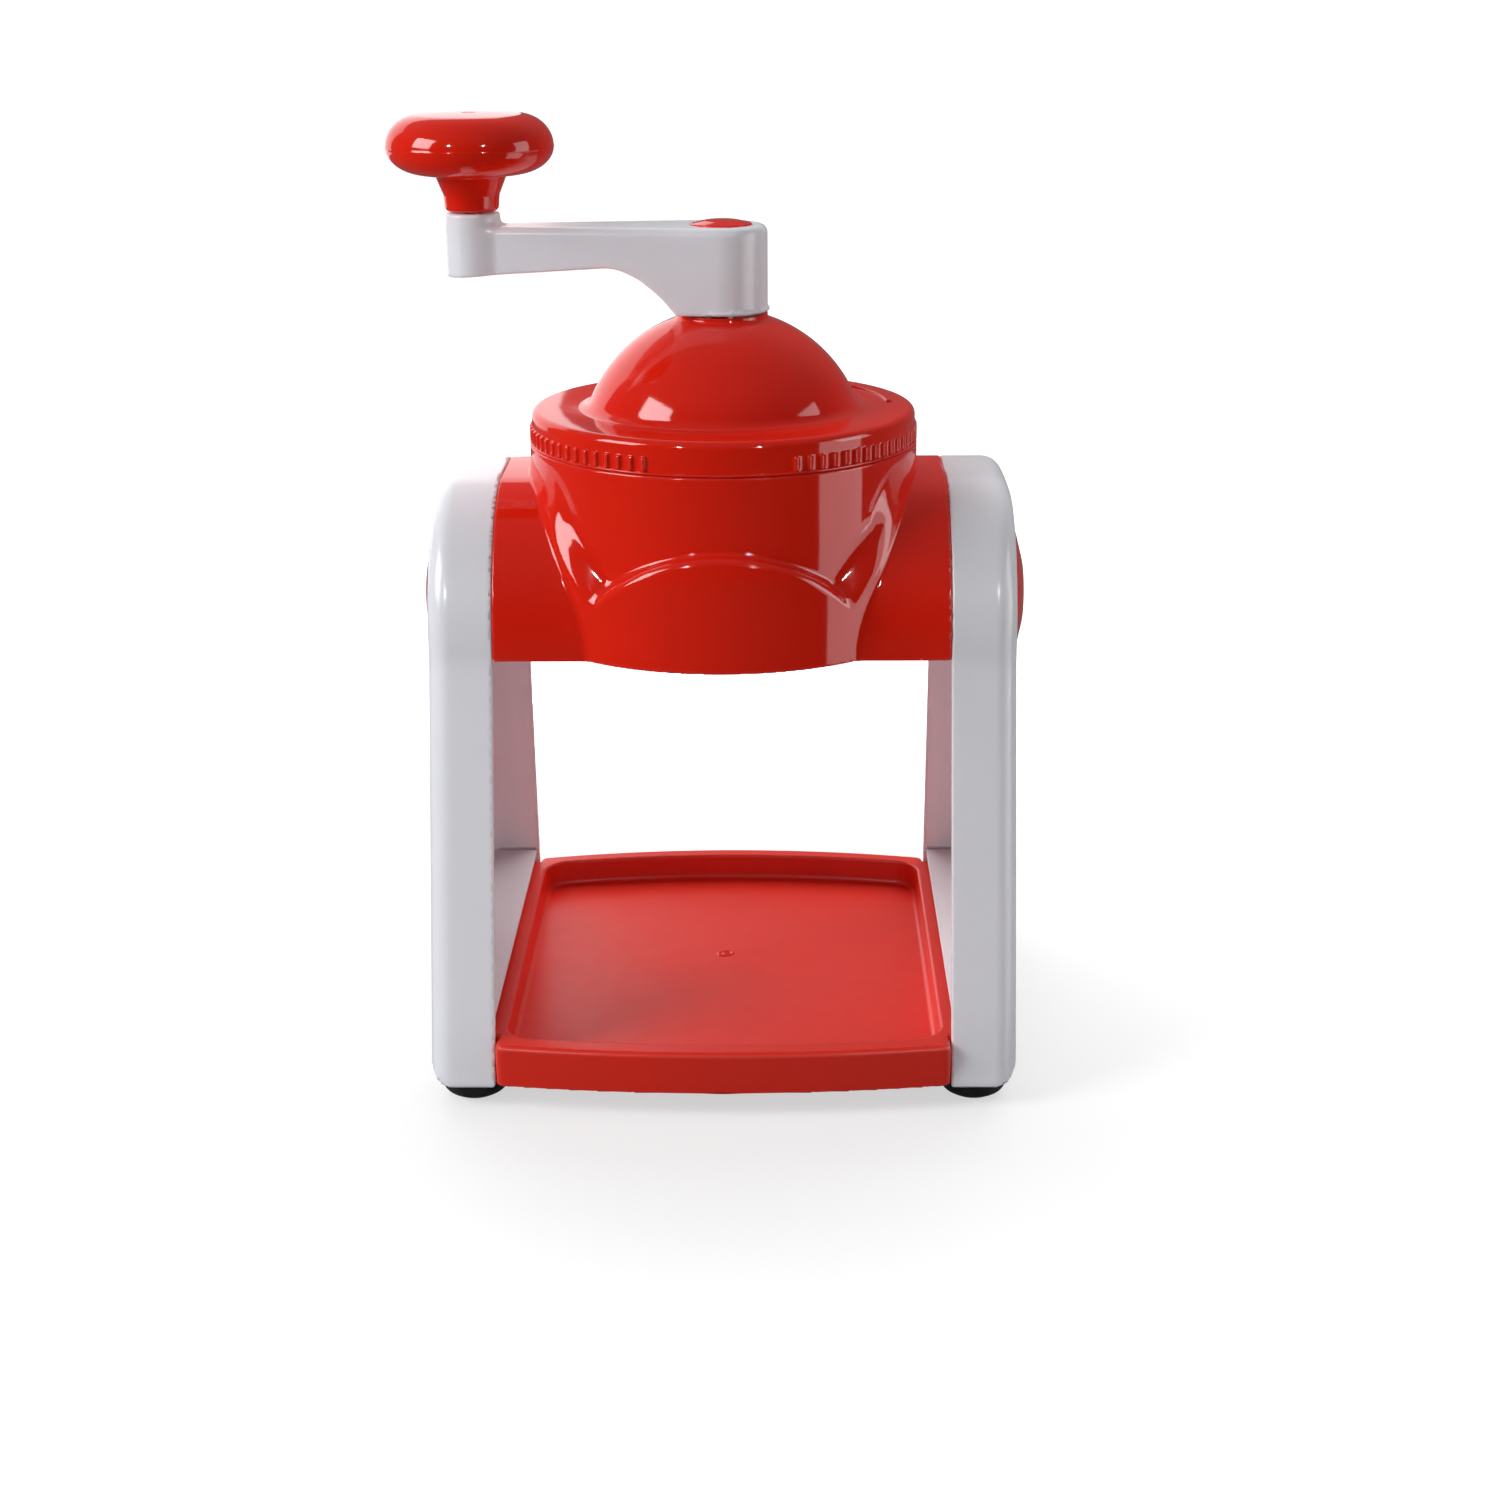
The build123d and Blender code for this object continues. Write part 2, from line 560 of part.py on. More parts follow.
with BuildPart() as lid:
    with BuildSketch(SIDE) as shell:
        with BuildLine():
            Polyline(
                (0, LID_BOTTOM),
                (LID_R, LID_BOTTOM),
                (LID_R, LID_BOTTOM + LIP_H),
                (SKIRT_R, LID_BOTTOM + LIP_H),
                (SKIRT_R, LID_TOP),
                (dome_base, LID_TOP),
            )
            ThreePointArc(
                (dome_base, LID_TOP),
                (DOME_R * DIAGONAL, DOME_Z + DOME_R * DIAGONAL),
                (NECK_R, dome_neck_z),
            )
            Polyline((NECK_R, dome_neck_z), (NECK_R, NECK_TOP), (0, NECK_TOP), (0, LID_BOTTOM))
        make_face()
        fillet(shell.vertices().sort_by_distance((SKIRT_R, LID_TOP))[0], 4)
        fillet(shell.vertices().sort_by_distance((dome_base, LID_TOP))[0], 5)
        fillet(shell.vertices().sort_by_distance((NECK_R, dome_neck_z))[0], 0.9)
    revolve(axis=TURN)
    with BuildSketch(up(SPIGOT_BOTTOM)):
        Circle(SPIGOT_R)
    extrude(amount=LID_BOTTOM - SPIGOT_BOTTOM + 1)
    with BuildSketch(SIDE):
        with BuildLine():
            Polyline(
                (0, DOME_Z + inner_r),
                (0, SPIGOT_BOTTOM - 1),
                (SPIGOT_R - LID_WALL, SPIGOT_BOTTOM - 1),
                (SPIGOT_R - LID_WALL, inner_top),
                (inner_base, inner_top),
            )
            ThreePointArc(
                (inner_base, inner_top),
                (inner_r * DIAGONAL, DOME_Z + inner_r * DIAGONAL),
                (0, DOME_Z + inner_r),
            )
        make_face()
    revolve(axis=TURN, mode=Mode.SUBTRACT)
    with BuildSketch(up(BUSH_SEAT)):
        Circle(BUSH_R + 3.5)
    extrude(amount=NECK_TOP - BUSH_SEAT - 1)
    with BuildSketch(up(BUSH_SEAT - 1)):
        Circle(BUSH_R)
    extrude(amount=NECK_TOP, mode=Mode.SUBTRACT)
    with Locations(up(LID_BOTTOM + (LIP_H + LID_RIB[2]) / 2)):
        for angle in rib_angles:
            with PolarLocations(SKIRT_R, 1, angle):
                Box(*LID_RIB)
    with BuildSketch(up(LID_TOP)) as arrow:
        with BuildLine():
            CenterArc((0, 0), ARROW_R, ARROW_FROM, ARROW_SWEEP)
        trace(line_width=2.4)
        with PolarLocations(ARROW_R, 1, ARROW_FROM + ARROW_SWEEP):
            Polygon((-3.6, -0.5), (3.6, -0.5), (0, 6.0), align=None)
    extrude(amount=ARROW_RISE)
save(lid.part, "lid")

with BuildPart() as neck_bush:
    with BuildSketch(up(BUSH_SEAT)):
        Circle(BUSH_R)
    extrude(amount=NECK_TOP - BUSH_SEAT)
    with BuildSketch(up(BUSH_SEAT)):
        Circle(BUSH_FLANGE_R)
    extrude(amount=-2)
    with BuildSketch(up(0)):
        Circle(SHAFT_R + RUN)
    extrude(amount=HUB_TOP, mode=Mode.SUBTRACT)
save(neck_bush.part, "neck_bush")

# --------------------------------------------------------------------- crank
with BuildPart() as crank_arm:
    with BuildSketch(up(HUB_BOTTOM)):
        Circle(HUB_R)
        with Locations((-CRANK_R, 0)):
            Circle(BOSS_R)
        Polygon(
            (-CRANK_R, -ARM_NARROW),
            (-6, -ARM_WIDE),
            (-6, ARM_WIDE),
            (-CRANK_R, ARM_NARROW),
            align=None,
        )
    extrude(amount=BOSS_TOP - HUB_BOTTOM)
    with BuildSketch(FRONT):
        with BuildLine():
            Polyline(
                (-HUB_R + 0.2, HUB_BOTTOM),
                (HUB_R + 1, HUB_BOTTOM),
                (HUB_R + 1, HUB_TOP),
                (-CRANK_R + BOSS_R + 0.1, HUB_TOP - 0.4),
                (-CRANK_R + BOSS_R + 0.1, BOSS_TOP),
                (-CRANK_R - BOSS_R - 1, BOSS_TOP),
                (-CRANK_R - BOSS_R - 1, BOSS_BOTTOM),
            )
            ThreePointArc((-CRANK_R - BOSS_R - 1, BOSS_BOTTOM), (-66, 281.0), (-43, 282.2))
            ThreePointArc((-43, 282.2), (-28, 275.6), (-HUB_R + 0.2, HUB_BOTTOM))
        make_face()
    extrude(amount=2 * HUB_R, both=True, mode=Mode.INTERSECT)
    fillet(crank_arm.faces().filter_by(Axis.Z).sort_by(Axis.Z)[-1].edges(), 1.6)
    with Locations(spot(0, 0, HUB_BOTTOM + 0.8)):
        Cylinder(BEAD_R, 1.6)
    with BuildSketch(up(HUB_BOTTOM)):
        Polygon((-70, -4.6), (-25, -9.2), (-25, 9.2), (-70, 4.6), align=None)
    extrude(amount=HUB_TOP - ARM_WALL - HUB_BOTTOM, mode=Mode.SUBTRACT)
    with BuildSketch(up(HUB_BOTTOM)):
        Rectangle(SQUARE, SQUARE)
    extrude(amount=WEB_Z - HUB_BOTTOM, mode=Mode.SUBTRACT)
    with BuildSketch(up(WEB_Z)):
        Circle(TOP_SCREW_R)
    extrude(amount=HUB_TOP, mode=Mode.SUBTRACT)
    with BuildSketch(up(WEB_Z + ARM_WALL)):
        Circle(WELL_R)
    extrude(amount=HUB_TOP, mode=Mode.SUBTRACT)
    with BuildSketch(up(CAP_SEAT_Z)):
        Circle(CAP_SEAT_R)
    extrude(amount=HUB_TOP, mode=Mode.SUBTRACT)
    with BuildSketch(up(BOSS_BOTTOM - 1)):
        with Locations((-CRANK_R, 0)):
            Circle(PIN_R)
    extrude(amount=BOSS_TOP, mode=Mode.SUBTRACT)
    with BuildSketch(up(BOSS_BOTTOM - 2)):
        with Locations((-CRANK_R, 0)):
            Circle(PIN_HEAD_R)
    extrude(amount=PIN_HEAD_Z - BOSS_BOTTOM + 2, mode=Mode.SUBTRACT)
save(crank_arm.part, "crank_arm")

cap_r = CAP_SEAT_R - 0.2
cap_half, cap_drop = crown(cap_r, CAP_RISE)
cap_top = HUB_TOP + 0.2 + CAP_RISE
with BuildPart() as crank_cap:
    with BuildSketch(SIDE):
        with BuildLine():
            Polyline((0, CAP_SEAT_Z), (cap_r, CAP_SEAT_Z), (cap_r, HUB_TOP + 0.2))
            ThreePointArc((cap_r, HUB_TOP + 0.2), (cap_half, cap_top - cap_drop), (0, cap_top))
            Line((0, cap_top), (0, CAP_SEAT_Z))
        make_face()
    revolve(axis=TURN)
    with BuildSketch(up(CAP_SEAT_Z)):
        Circle(WELL_R)
        Circle(WELL_R - 1.2, mode=Mode.SUBTRACT)
    extrude(amount=-2)
save(crank_cap.part, "crank_cap")

with BuildPart() as crank_screw:
    with Locations(spot(0, 0, WEB_Z + ARM_WALL + 2.2)):
        Cylinder(4.0, 2.4)
    with Locations(spot(0, 0, WEB_Z + ARM_WALL - 5.5)):
        Cylinder(TOP_SCREW_R, 13)
    with BuildSketch(up(WEB_Z + ARM_WALL + 3.4)):
        Rectangle(5, 0.9)
        Rectangle(0.9, 5)
    extrude(amount=-1.4, mode=Mode.SUBTRACT)
save(crank_screw.part, "crank_screw")

with BuildPart() as crank_washer:
    with BuildSketch(up(WEB_Z + ARM_WALL)):
        Circle(WELL_R - 0.3)
        Circle(TOP_SCREW_R, mode=Mode.SUBTRACT)
    extrude(amount=1.0)
save(crank_washer.part, "crank_washer")

# ---------------------------------------------------------------------- knob
with BuildPart() as knob:
    with BuildSketch(upright(-CRANK_R, 0)) as half:
        with BuildLine():
            Polyline((0, KNOB_BOTTOM), (STEM_R - 1.2, KNOB_BOTTOM), (STEM_R, KNOB_BOTTOM + 1.4))
            ThreePointArc((STEM_R, KNOB_BOTTOM + 1.4), (STEM_R + 0.9, 307), (12.3, KNOB_DISC_Z))
            Polyline(
                (12.3, KNOB_DISC_Z),
                (KNOB_R, KNOB_DISC_Z),
                (KNOB_R, KNOB_TOP - 1.2),
                (0, KNOB_TOP),
                (0, KNOB_BOTTOM),
            )
        make_face()
        for height in (KNOB_DISC_Z, KNOB_TOP - 1.2):
            fillet(half.vertices().sort_by_distance((KNOB_R, height))[0], KNOB_ROUND)
    revolve(axis=KNOB_AXIS)
    with BuildSketch(up(KNOB_BOTTOM)):
        with Locations((-CRANK_R, 0)):
            Circle(PIN_R + RUN)
    extrude(amount=BORE_TOP - KNOB_BOTTOM, mode=Mode.SUBTRACT)
    with BuildSketch(up(SNAP_Z)):
        with Locations((-CRANK_R, 0)):
            Circle(SNAP_R + 0.3)
    extrude(amount=BORE_TOP - SNAP_Z, mode=Mode.SUBTRACT)
save(knob.part, "knob")

with BuildPart() as knob_pin:
    with BuildSketch(upright(-CRANK_R, 0)):
        with BuildLine():
            Polyline(
                (0, PIN_HEAD_Z - 2),
                (PIN_HEAD_R, PIN_HEAD_Z - 2),
                (PIN_HEAD_R, PIN_HEAD_Z),
                (PIN_R, PIN_HEAD_Z),
                (PIN_R, SNAP_Z + 0.4),
                (SNAP_R, SNAP_Z + 0.4),
                (SNAP_R - 1, BORE_TOP - 0.4),
                (0, BORE_TOP - 0.4),
                close=True,
            )
        make_face()
    revolve(axis=KNOB_AXIS)
save(knob_pin.part, "knob_pin")

# --------------------------------------------------- shaft, gripper, spring
with BuildPart() as drive_shaft:
    with BuildSketch(up(SHAFT_END)):
        Rectangle(SQUARE, SQUARE)
    extrude(amount=SQUARE_TOP - SHAFT_END)
    with BuildSketch(up(SQUARE_TOP)):
        Circle(SHAFT_R)
    extrude(amount=HUB_BOTTOM - SQUARE_TOP)
    with BuildSketch(up(HUB_BOTTOM)):
        Rectangle(SQUARE, SQUARE)
    extrude(amount=WEB_Z - HUB_BOTTOM)
    with BuildSketch(up(SHAFT_COLLAR[0])):
        Circle(SHAFT_COLLAR_R)
    extrude(amount=SHAFT_COLLAR[1] - SHAFT_COLLAR[0])
    with BuildSketch(up(WEB_Z)):
        Circle(TOP_SCREW_R)
    extrude(amount=-9, mode=Mode.SUBTRACT)
    with BuildSketch(up(SHAFT_END)):
        Circle(SMALL_SCREW_R)
    extrude(amount=9, mode=Mode.SUBTRACT)
save(drive_shaft.part, "drive_shaft")

with BuildPart() as spring_seat:
    with BuildSketch(up(SHAFT_COLLAR[0])):
        Circle(SEAT_R)
        Circle(SHAFT_R, mode=Mode.SUBTRACT)
    extrude(amount=-SEAT_T)
save(spring_seat.part, "spring_seat")

with BuildPart() as end_washer:
    with BuildSketch(up(SHAFT_END)):
        Circle(7.5)
        Circle(SMALL_SCREW_R, mode=Mode.SUBTRACT)
    extrude(amount=-1.2)
save(end_washer.part, "end_washer")

with BuildPart() as end_screw:
    with Locations(spot(0, 0, SHAFT_END - 2.1)):
        Cylinder(SMALL_HEAD_R, 1.8)
    with Locations(spot(0, 0, SHAFT_END + 3.4)):
        Cylinder(SMALL_SCREW_R, 9.2)
save(end_screw.part, "end_screw")

with BuildPart() as gripper_plate:
    with BuildSketch(up(GRIP_Z)):
        Circle(GRIP_R)
    extrude(amount=GRIP_T)
    with BuildSketch(up(GRIP_HUB[0])):
        Circle(GRIP_HUB_R)
    extrude(amount=GRIP_HUB[1] - GRIP_HUB[0])
    with BuildSketch(up(GRIP_Z + GRIP_T)):
        Circle(GRIP_R)
        Circle(GRIP_R - 2.5, mode=Mode.SUBTRACT)
        with PolarLocations(GRIP_R / 2 + 5, 6):
            Rectangle(GRIP_R - 14, 2.2)
    extrude(amount=3)
    with BuildSketch(up(GRIP_HUB[0])):
        Rectangle(SQUARE + 0.2, SQUARE + 0.2)
        for radius, count in SPIKE_RINGS:
            with PolarLocations(radius, count, 15):
                Circle(SPIKE_R)
    extrude(amount=GRIP_HUB[1], mode=Mode.SUBTRACT)
save(gripper_plate.part, "gripper_plate")

with BuildPart() as gripper_spikes:
    for radius, count in SPIKE_RINGS:
        with BuildSketch(up(SPIKE_TIP + 3)):
            with PolarLocations(radius, count, 15):
                Circle(SPIKE_R)
        extrude(amount=GRIP_Z + GRIP_T - SPIKE_TIP - 3)
        with Locations(up(SPIKE_TIP + 1.5)):
            with PolarLocations(radius, count, 15):
                Cone(0.25, SPIKE_R, 3)
save(gripper_spikes.part, "gripper_spikes")

spring_foot = GRIP_HUB[1] + WIRE_R
spring_height = SHAFT_COLLAR[0] - SEAT_T - WIRE_R - spring_foot
with BuildPart() as gripper_spring:
    with BuildLine(up(spring_foot)) as coil:
        Helix(spring_height / SPRING_TURNS, spring_height, SPRING_R)
    with BuildSketch(Plane(coil.line @ 0, z_dir=coil.line % 0)):
        Circle(WIRE_R)
    sweep(is_frenet=True)
save(gripper_spring.part, "gripper_spring")
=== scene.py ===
import bpy
import json
import math
import numpy as np
from itertools import product
from mathutils import Matrix, Vector


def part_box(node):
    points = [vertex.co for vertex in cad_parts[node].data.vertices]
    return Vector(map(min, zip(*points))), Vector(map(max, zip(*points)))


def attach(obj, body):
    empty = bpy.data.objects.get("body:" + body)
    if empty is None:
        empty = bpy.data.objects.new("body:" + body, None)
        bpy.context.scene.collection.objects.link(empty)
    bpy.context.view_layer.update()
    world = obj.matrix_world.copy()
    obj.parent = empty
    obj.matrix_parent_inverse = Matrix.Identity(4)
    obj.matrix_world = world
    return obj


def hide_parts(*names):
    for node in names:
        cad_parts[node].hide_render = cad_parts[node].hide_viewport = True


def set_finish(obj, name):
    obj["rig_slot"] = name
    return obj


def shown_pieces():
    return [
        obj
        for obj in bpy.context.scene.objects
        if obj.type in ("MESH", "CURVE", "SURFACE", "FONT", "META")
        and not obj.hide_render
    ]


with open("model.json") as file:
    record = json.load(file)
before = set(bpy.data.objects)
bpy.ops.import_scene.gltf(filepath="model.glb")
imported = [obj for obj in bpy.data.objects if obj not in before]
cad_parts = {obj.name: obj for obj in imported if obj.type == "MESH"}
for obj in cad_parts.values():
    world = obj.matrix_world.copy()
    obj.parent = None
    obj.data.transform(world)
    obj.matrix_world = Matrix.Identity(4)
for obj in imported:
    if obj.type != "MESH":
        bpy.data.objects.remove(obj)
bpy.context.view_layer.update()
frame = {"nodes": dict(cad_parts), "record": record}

# Shapes are written in millimetres from the foot of the hopper's axis: x to the right, y to the
# rear, z up from the table.
MM = 0.001
bush_low, bush_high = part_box("neck_bush")
CENTRE = ((bush_low[0] + bush_high[0]) / 2, (bush_low[1] + bush_high[1]) / 2, 0.0)


# ------------------------------------------------------------------ camera
CAMERA_AT = (19.19, -902.17, 400.28)
CAMERA_YAW, CAMERA_PITCH, CAMERA_ROLL = (math.radians(a) for a in (-0.65, -18.39, -0.32))
CAMERA_LENS = 60.33


def in_frame(point):
    """A point in millimetres from the hopper's axis, as metres in the frame."""
    return Vector([c + MM * p for c, p in zip(CENTRE, point)])


def add_camera():
    ahead = Vector((
        math.sin(CAMERA_YAW) * math.cos(CAMERA_PITCH),
        math.cos(CAMERA_YAW) * math.cos(CAMERA_PITCH),
        math.sin(CAMERA_PITCH),
    ))
    level = Vector((math.cos(CAMERA_YAW), -math.sin(CAMERA_YAW), 0.0))
    above = level.cross(ahead)
    right = level * math.cos(CAMERA_ROLL) + above * math.sin(CAMERA_ROLL)
    up = above * math.cos(CAMERA_ROLL) - level * math.sin(CAMERA_ROLL)
    data = bpy.data.cameras.new("camera")
    data.lens = CAMERA_LENS
    data.sensor_width = 36.0
    data.clip_start = 0.01
    data.clip_end = 100.0
    camera = bpy.data.objects.new("camera", data)
    bpy.context.scene.collection.objects.link(camera)
    turn = Matrix((right, up, -ahead)).transposed().to_4x4()
    camera.matrix_world = Matrix.Translation(in_frame(CAMERA_AT)) @ turn
    bpy.context.scene.camera = camera


add_camera()


# --------------------------------------------------------------- mesh tools
def make_piece(name, points, faces, body, slot, nodes, normals=None):
    """A mesh from points in millimetres and quads or triangles, standing for CAD nodes."""
    points = np.asarray(points, dtype=np.float64) * MM + np.array(CENTRE)
    mesh = bpy.data.meshes.new(name)
    if isinstance(faces, np.ndarray):
        mesh.vertices.add(len(points))
        mesh.vertices.foreach_set("co", points.astype(np.float32).ravel())
        mesh.loops.add(faces.size)
        mesh.loops.foreach_set("vertex_index", faces.astype(np.int32).ravel())
        mesh.polygons.add(len(faces))
        mesh.polygons.foreach_set("loop_start", np.arange(0, faces.size, faces.shape[1], dtype=np.int32))
        mesh.update(calc_edges=True)
    else:
        mesh.from_pydata([tuple(p) for p in points], [], faces)
    mesh.validate()
    mesh.polygons.foreach_set("use_smooth", [True] * len(mesh.polygons))
    if normals is not None:
        mesh.normals_split_custom_set_from_vertices(normals.astype(np.float32))
    piece = bpy.data.objects.new(name, mesh)
    bpy.context.scene.collection.objects.link(piece)
    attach(piece, body)
    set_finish(piece, slot)
    if nodes:
        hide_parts(*nodes)
    return piece


def rounded(corners, steps=7):
    """A line of points through (r, z, radius) corners, each rounded by its radius."""
    line = []
    last = len(corners) - 1
    for i, (x, y, radius) in enumerate(corners):
        here = np.array((x, y))
        if radius <= 0 or i in (0, last):
            line.append(here)
            continue
        before = np.array(corners[i - 1][:2]) - here
        after = np.array(corners[i + 1][:2]) - here
        len_b, len_a = np.linalg.norm(before), np.linalg.norm(after)
        before, after = before / len_b, after / len_a
        half = math.acos(max(-1.0, min(1.0, float(before @ after)))) / 2
        reach = min(radius / math.tan(half), len_b * 0.499, len_a * 0.499)
        radius = reach * math.tan(half)
        middle = (before + after) / np.linalg.norm(before + after)
        centre = here + middle * radius / math.sin(half)
        start, end = here + before * reach - centre, here + after * reach - centre
        turn = math.atan2(start[0] * end[1] - start[1] * end[0], float(start @ end))
        for k in range(steps + 1):
            a = turn * k / steps
            line.append(centre + (start[0] * math.cos(a) - start[1] * math.sin(a),
                                  start[0] * math.sin(a) + start[1] * math.cos(a)))
    return line


def arc(centre, radius, start, end, steps):
    """Points of a circle's arc; the angles are in degrees."""
    angles = np.radians(np.linspace(start, end, steps))
    return [np.array((centre[0] + radius * math.cos(a), centre[1] + radius * math.sin(a))) for a in angles]


def turned(line, angles, swell=None, closed=False, at=(0.0, 0.0)):
    """Points and faces of a (radius, z) line turned about a vertical axis.

    swell(radius, z, angles) gives what is added to the radius."""
    line = [np.asarray(p, dtype=float) for p in line]
    count = len(angles)
    points, rings = [], []
    for r, z in line:
        if r < 1e-6:
            rings.append([len(points)])
            points.append((at[0], at[1], z))
            continue
        radii = np.full(count, r)
        if swell is not None:
            radii = radii + swell(r, z, angles)
        rings.append(list(range(len(points), len(points) + count)))
        points += list(zip(at[0] + radii * np.cos(angles), at[1] + radii * np.sin(angles), np.full(count, z)))
    faces = []
    pairs = list(zip(rings, rings[1:] + rings[:1])) if closed else list(zip(rings, rings[1:]))
    for low, high in pairs:
        for k in range(count):
            n = (k + 1) % count
            if len(low) == 1 and len(high) == 1:
                continue
            if len(low) == 1:
                faces.append((low[0], high[n], high[k]))
            elif len(high) == 1:
                faces.append((low[k], low[n], high[0]))
            else:
                faces.append((low[k], low[n], high[n], high[k]))
    return points, faces


def about_x(points, centre_y, centre_z):
    """Turns points made about the vertical axis so that the axis lies along +X."""
    return [(z, centre_y + y, centre_z - x) for x, y, z in points]


def even_angles(count):
    return np.arange(count) * 2 * math.pi / count


def both(a, b, r=0.0):
    """Where two shapes overlap, with the new edge rounded by r."""
    if r <= 0:
        return np.maximum(a, b)
    return np.minimum(-r, np.maximum(a, b)) + np.hypot(np.maximum(r + a, 0), np.maximum(r + b, 0))


def either(a, b, r=0.0):
    """Two shapes joined, with the inner corner filled by a fillet of radius r."""
    if r <= 0:
        return np.minimum(a, b)
    return np.maximum(r, np.minimum(a, b)) - np.hypot(np.maximum(r - a, 0), np.maximum(r - b, 0))


def without(a, b, r=0.0):
    """Shape a with b cut away, with the new edge rounded by r."""
    return both(a, -b, r)


def eased(a, b, reach):
    """The smaller of a and b, eased into one another where they differ by less than reach."""
    near = np.maximum(reach - np.abs(a - b), 0) / reach
    return np.minimum(a, b) - near * near * reach / 4


def slope_of(shape, p, h=0.02):
    """Gradient of a shape's distance at points p."""
    grad = np.empty_like(p)
    for axis in range(3):
        step = np.zeros(3)
        step[axis] = h
        high, low = p + step, p - step
        grad[:, axis] = (shape(*high.T) - shape(*low.T)) / (2 * h)
    return grad


def skin(shape, low, high, step):
    """Points, quads and normals of the surface where shape(x, y, z) is 0; it is negative inside."""
    axes = [np.arange(a - 1.5 * step, b + 2.5 * step, step) for a, b in zip(low, high)]
    field = shape(*np.meshgrid(*axes, indexing="ij", sparse=True)).astype(np.float32)
    inside = field < 0
    n = np.array(field.shape) - 1
    count = np.zeros(n, dtype=np.int8)
    for d in product((0, 1), repeat=3):
        count += inside[d[0]:d[0] + n[0], d[1]:d[1] + n[1], d[2]:d[2] + n[2]]
    cells = np.argwhere((count > 0) & (count < 8))
    number = np.full(n, -1, dtype=np.int64)
    number[tuple(cells.T)] = np.arange(len(cells))
    total = np.zeros((len(cells), 3))
    hits = np.zeros(len(cells))
    for axis in range(3):
        others = [a for a in range(3) if a != axis]
        for shift in product((0, 1), repeat=2):
            start = cells.copy()
            start[:, others[0]] += shift[0]
            start[:, others[1]] += shift[1]
            end = start.copy()
            end[:, axis] += 1
            a, b = field[tuple(start.T)], field[tuple(end.T)]
            cross = (a < 0) != (b < 0)
            share = np.where(cross, a / np.where(cross, a - b, 1), 0)
            point = start.astype(float)
            point[:, axis] += share
            total[cross] += point[cross]
            hits[cross] += 1
    points = total / hits[:, None] * step + np.array([a[0] for a in axes])
    home = points.copy()
    for _ in range(4):
        value = shape(*points.T)
        grad = slope_of(shape, points)
        move = grad * (value / np.maximum((grad ** 2).sum(1), 0.2))[:, None]
        points = points - move
        away = points - home
        length = np.linalg.norm(away, axis=1)
        points = home + away * np.minimum(1, 0.9 * step / np.maximum(length, 1e-9))[:, None]
    normals = slope_of(shape, points, 0.06)
    normals /= np.maximum(np.linalg.norm(normals, axis=1), 1e-9)[:, None]
    quads = []
    for axis in range(3):
        u, v = (axis + 1) % 3, (axis + 2) % 3
        first = [slice(None)] * 3
        second = [slice(None)] * 3
        first[axis], second[axis] = slice(0, -1), slice(1, None)
        edge_a, edge_b = inside[tuple(first)], inside[tuple(second)]
        for leaving in (True, False):
            edges = np.argwhere((edge_a != edge_b) & (edge_a == leaving))
            edges = edges[(edges[:, u] > 0) & (edges[:, v] > 0) & (edges[:, u] < n[u]) & (edges[:, v] < n[v])]
            ring = []
            for du, dv in ((-1, -1), (0, -1), (0, 0), (-1, 0)):
                cell = edges.copy()
                cell[:, u] += du
                cell[:, v] += dv
                ring.append(number[tuple(cell.T)])
            quad = np.stack(ring if leaving else ring[::-1], axis=1)
            quads.append(quad)
    return points, np.concatenate(quads), normals


def skinned(name, shape, low, high, step, body, slot, nodes):
    points, quads, normals = skin(shape, low, high, step)
    return make_piece(name, points, quads, body, slot, nodes, normals)


# ------------------------------------------------------------ hopper body
HALF_GAP = 80.3
PANEL_W = 23.3
OUTER_X = HALF_GAP + PANEL_W
FRONT_SIDE, REAR_SIDE = 59.0, 69.0
FRONT_TOE, REAR_TOE = 100.0, 88.0
KNEE_Z, PANEL_BOTTOM = 152.0, 8.0
SHOULDER_R = 48.0
CROWN_Z = 208.5
CROWN_R = 457.4
ARCH_MID = 5.0
SCREW_Z = 161.0
BODY_BOTTOM, BODY_TOP = 152.5, 220.0
COLLAR_TOP = 208.5
HOPPER_R, HOPPER_IN, OUTLET_R = 70.0, 67.2, 59.0
BOWL_FLOOR = 158.5
GROOVE_R, GROOVE_HALF, GROOVE_TOP = 71.95, 1.65, 166.0
WALL = 2.5
BOSS_FACE = 84.3


def arch(y, z):
    """Side outline of the cross tube and of the panels above the knee."""
    sides = np.maximum(-FRONT_SIDE - y, y - REAR_SIDE)
    crown = np.hypot(y - ARCH_MID, z - CROWN_Z + CROWN_R) - CROWN_R
    return both(sides, crown, SHOULDER_R)


def collar_region(x, y, z):
    """Where the collar stands proud of the hopper: low down, in the half-moons and at the sides.

    Each side lobe ends in a twisted face: its edge runs at one angle on the collar's
    surface and at another on the hopper's, and both change with height."""
    r = np.hypot(x, y)
    angle = np.degrees(np.arctan2(np.abs(y), np.abs(x)))
    on_collar = 49.8 - 0.773 * (z - 178.0)
    on_hopper = np.maximum(46.5 - 0.19 * (z - 176.0) - 0.008 * np.maximum(z - 190.0, 0) ** 2, on_collar + 8.0)
    share = (r - HOPPER_R) / 6.0
    side = np.radians(angle - on_hopper - (on_collar - on_hopper) * share) * r * 0.85
    moon = np.hypot(x, z - 131.6) - 61.6
    low = z - 171.0
    return eased(eased(moon, low, 1.5), side, 3.5)


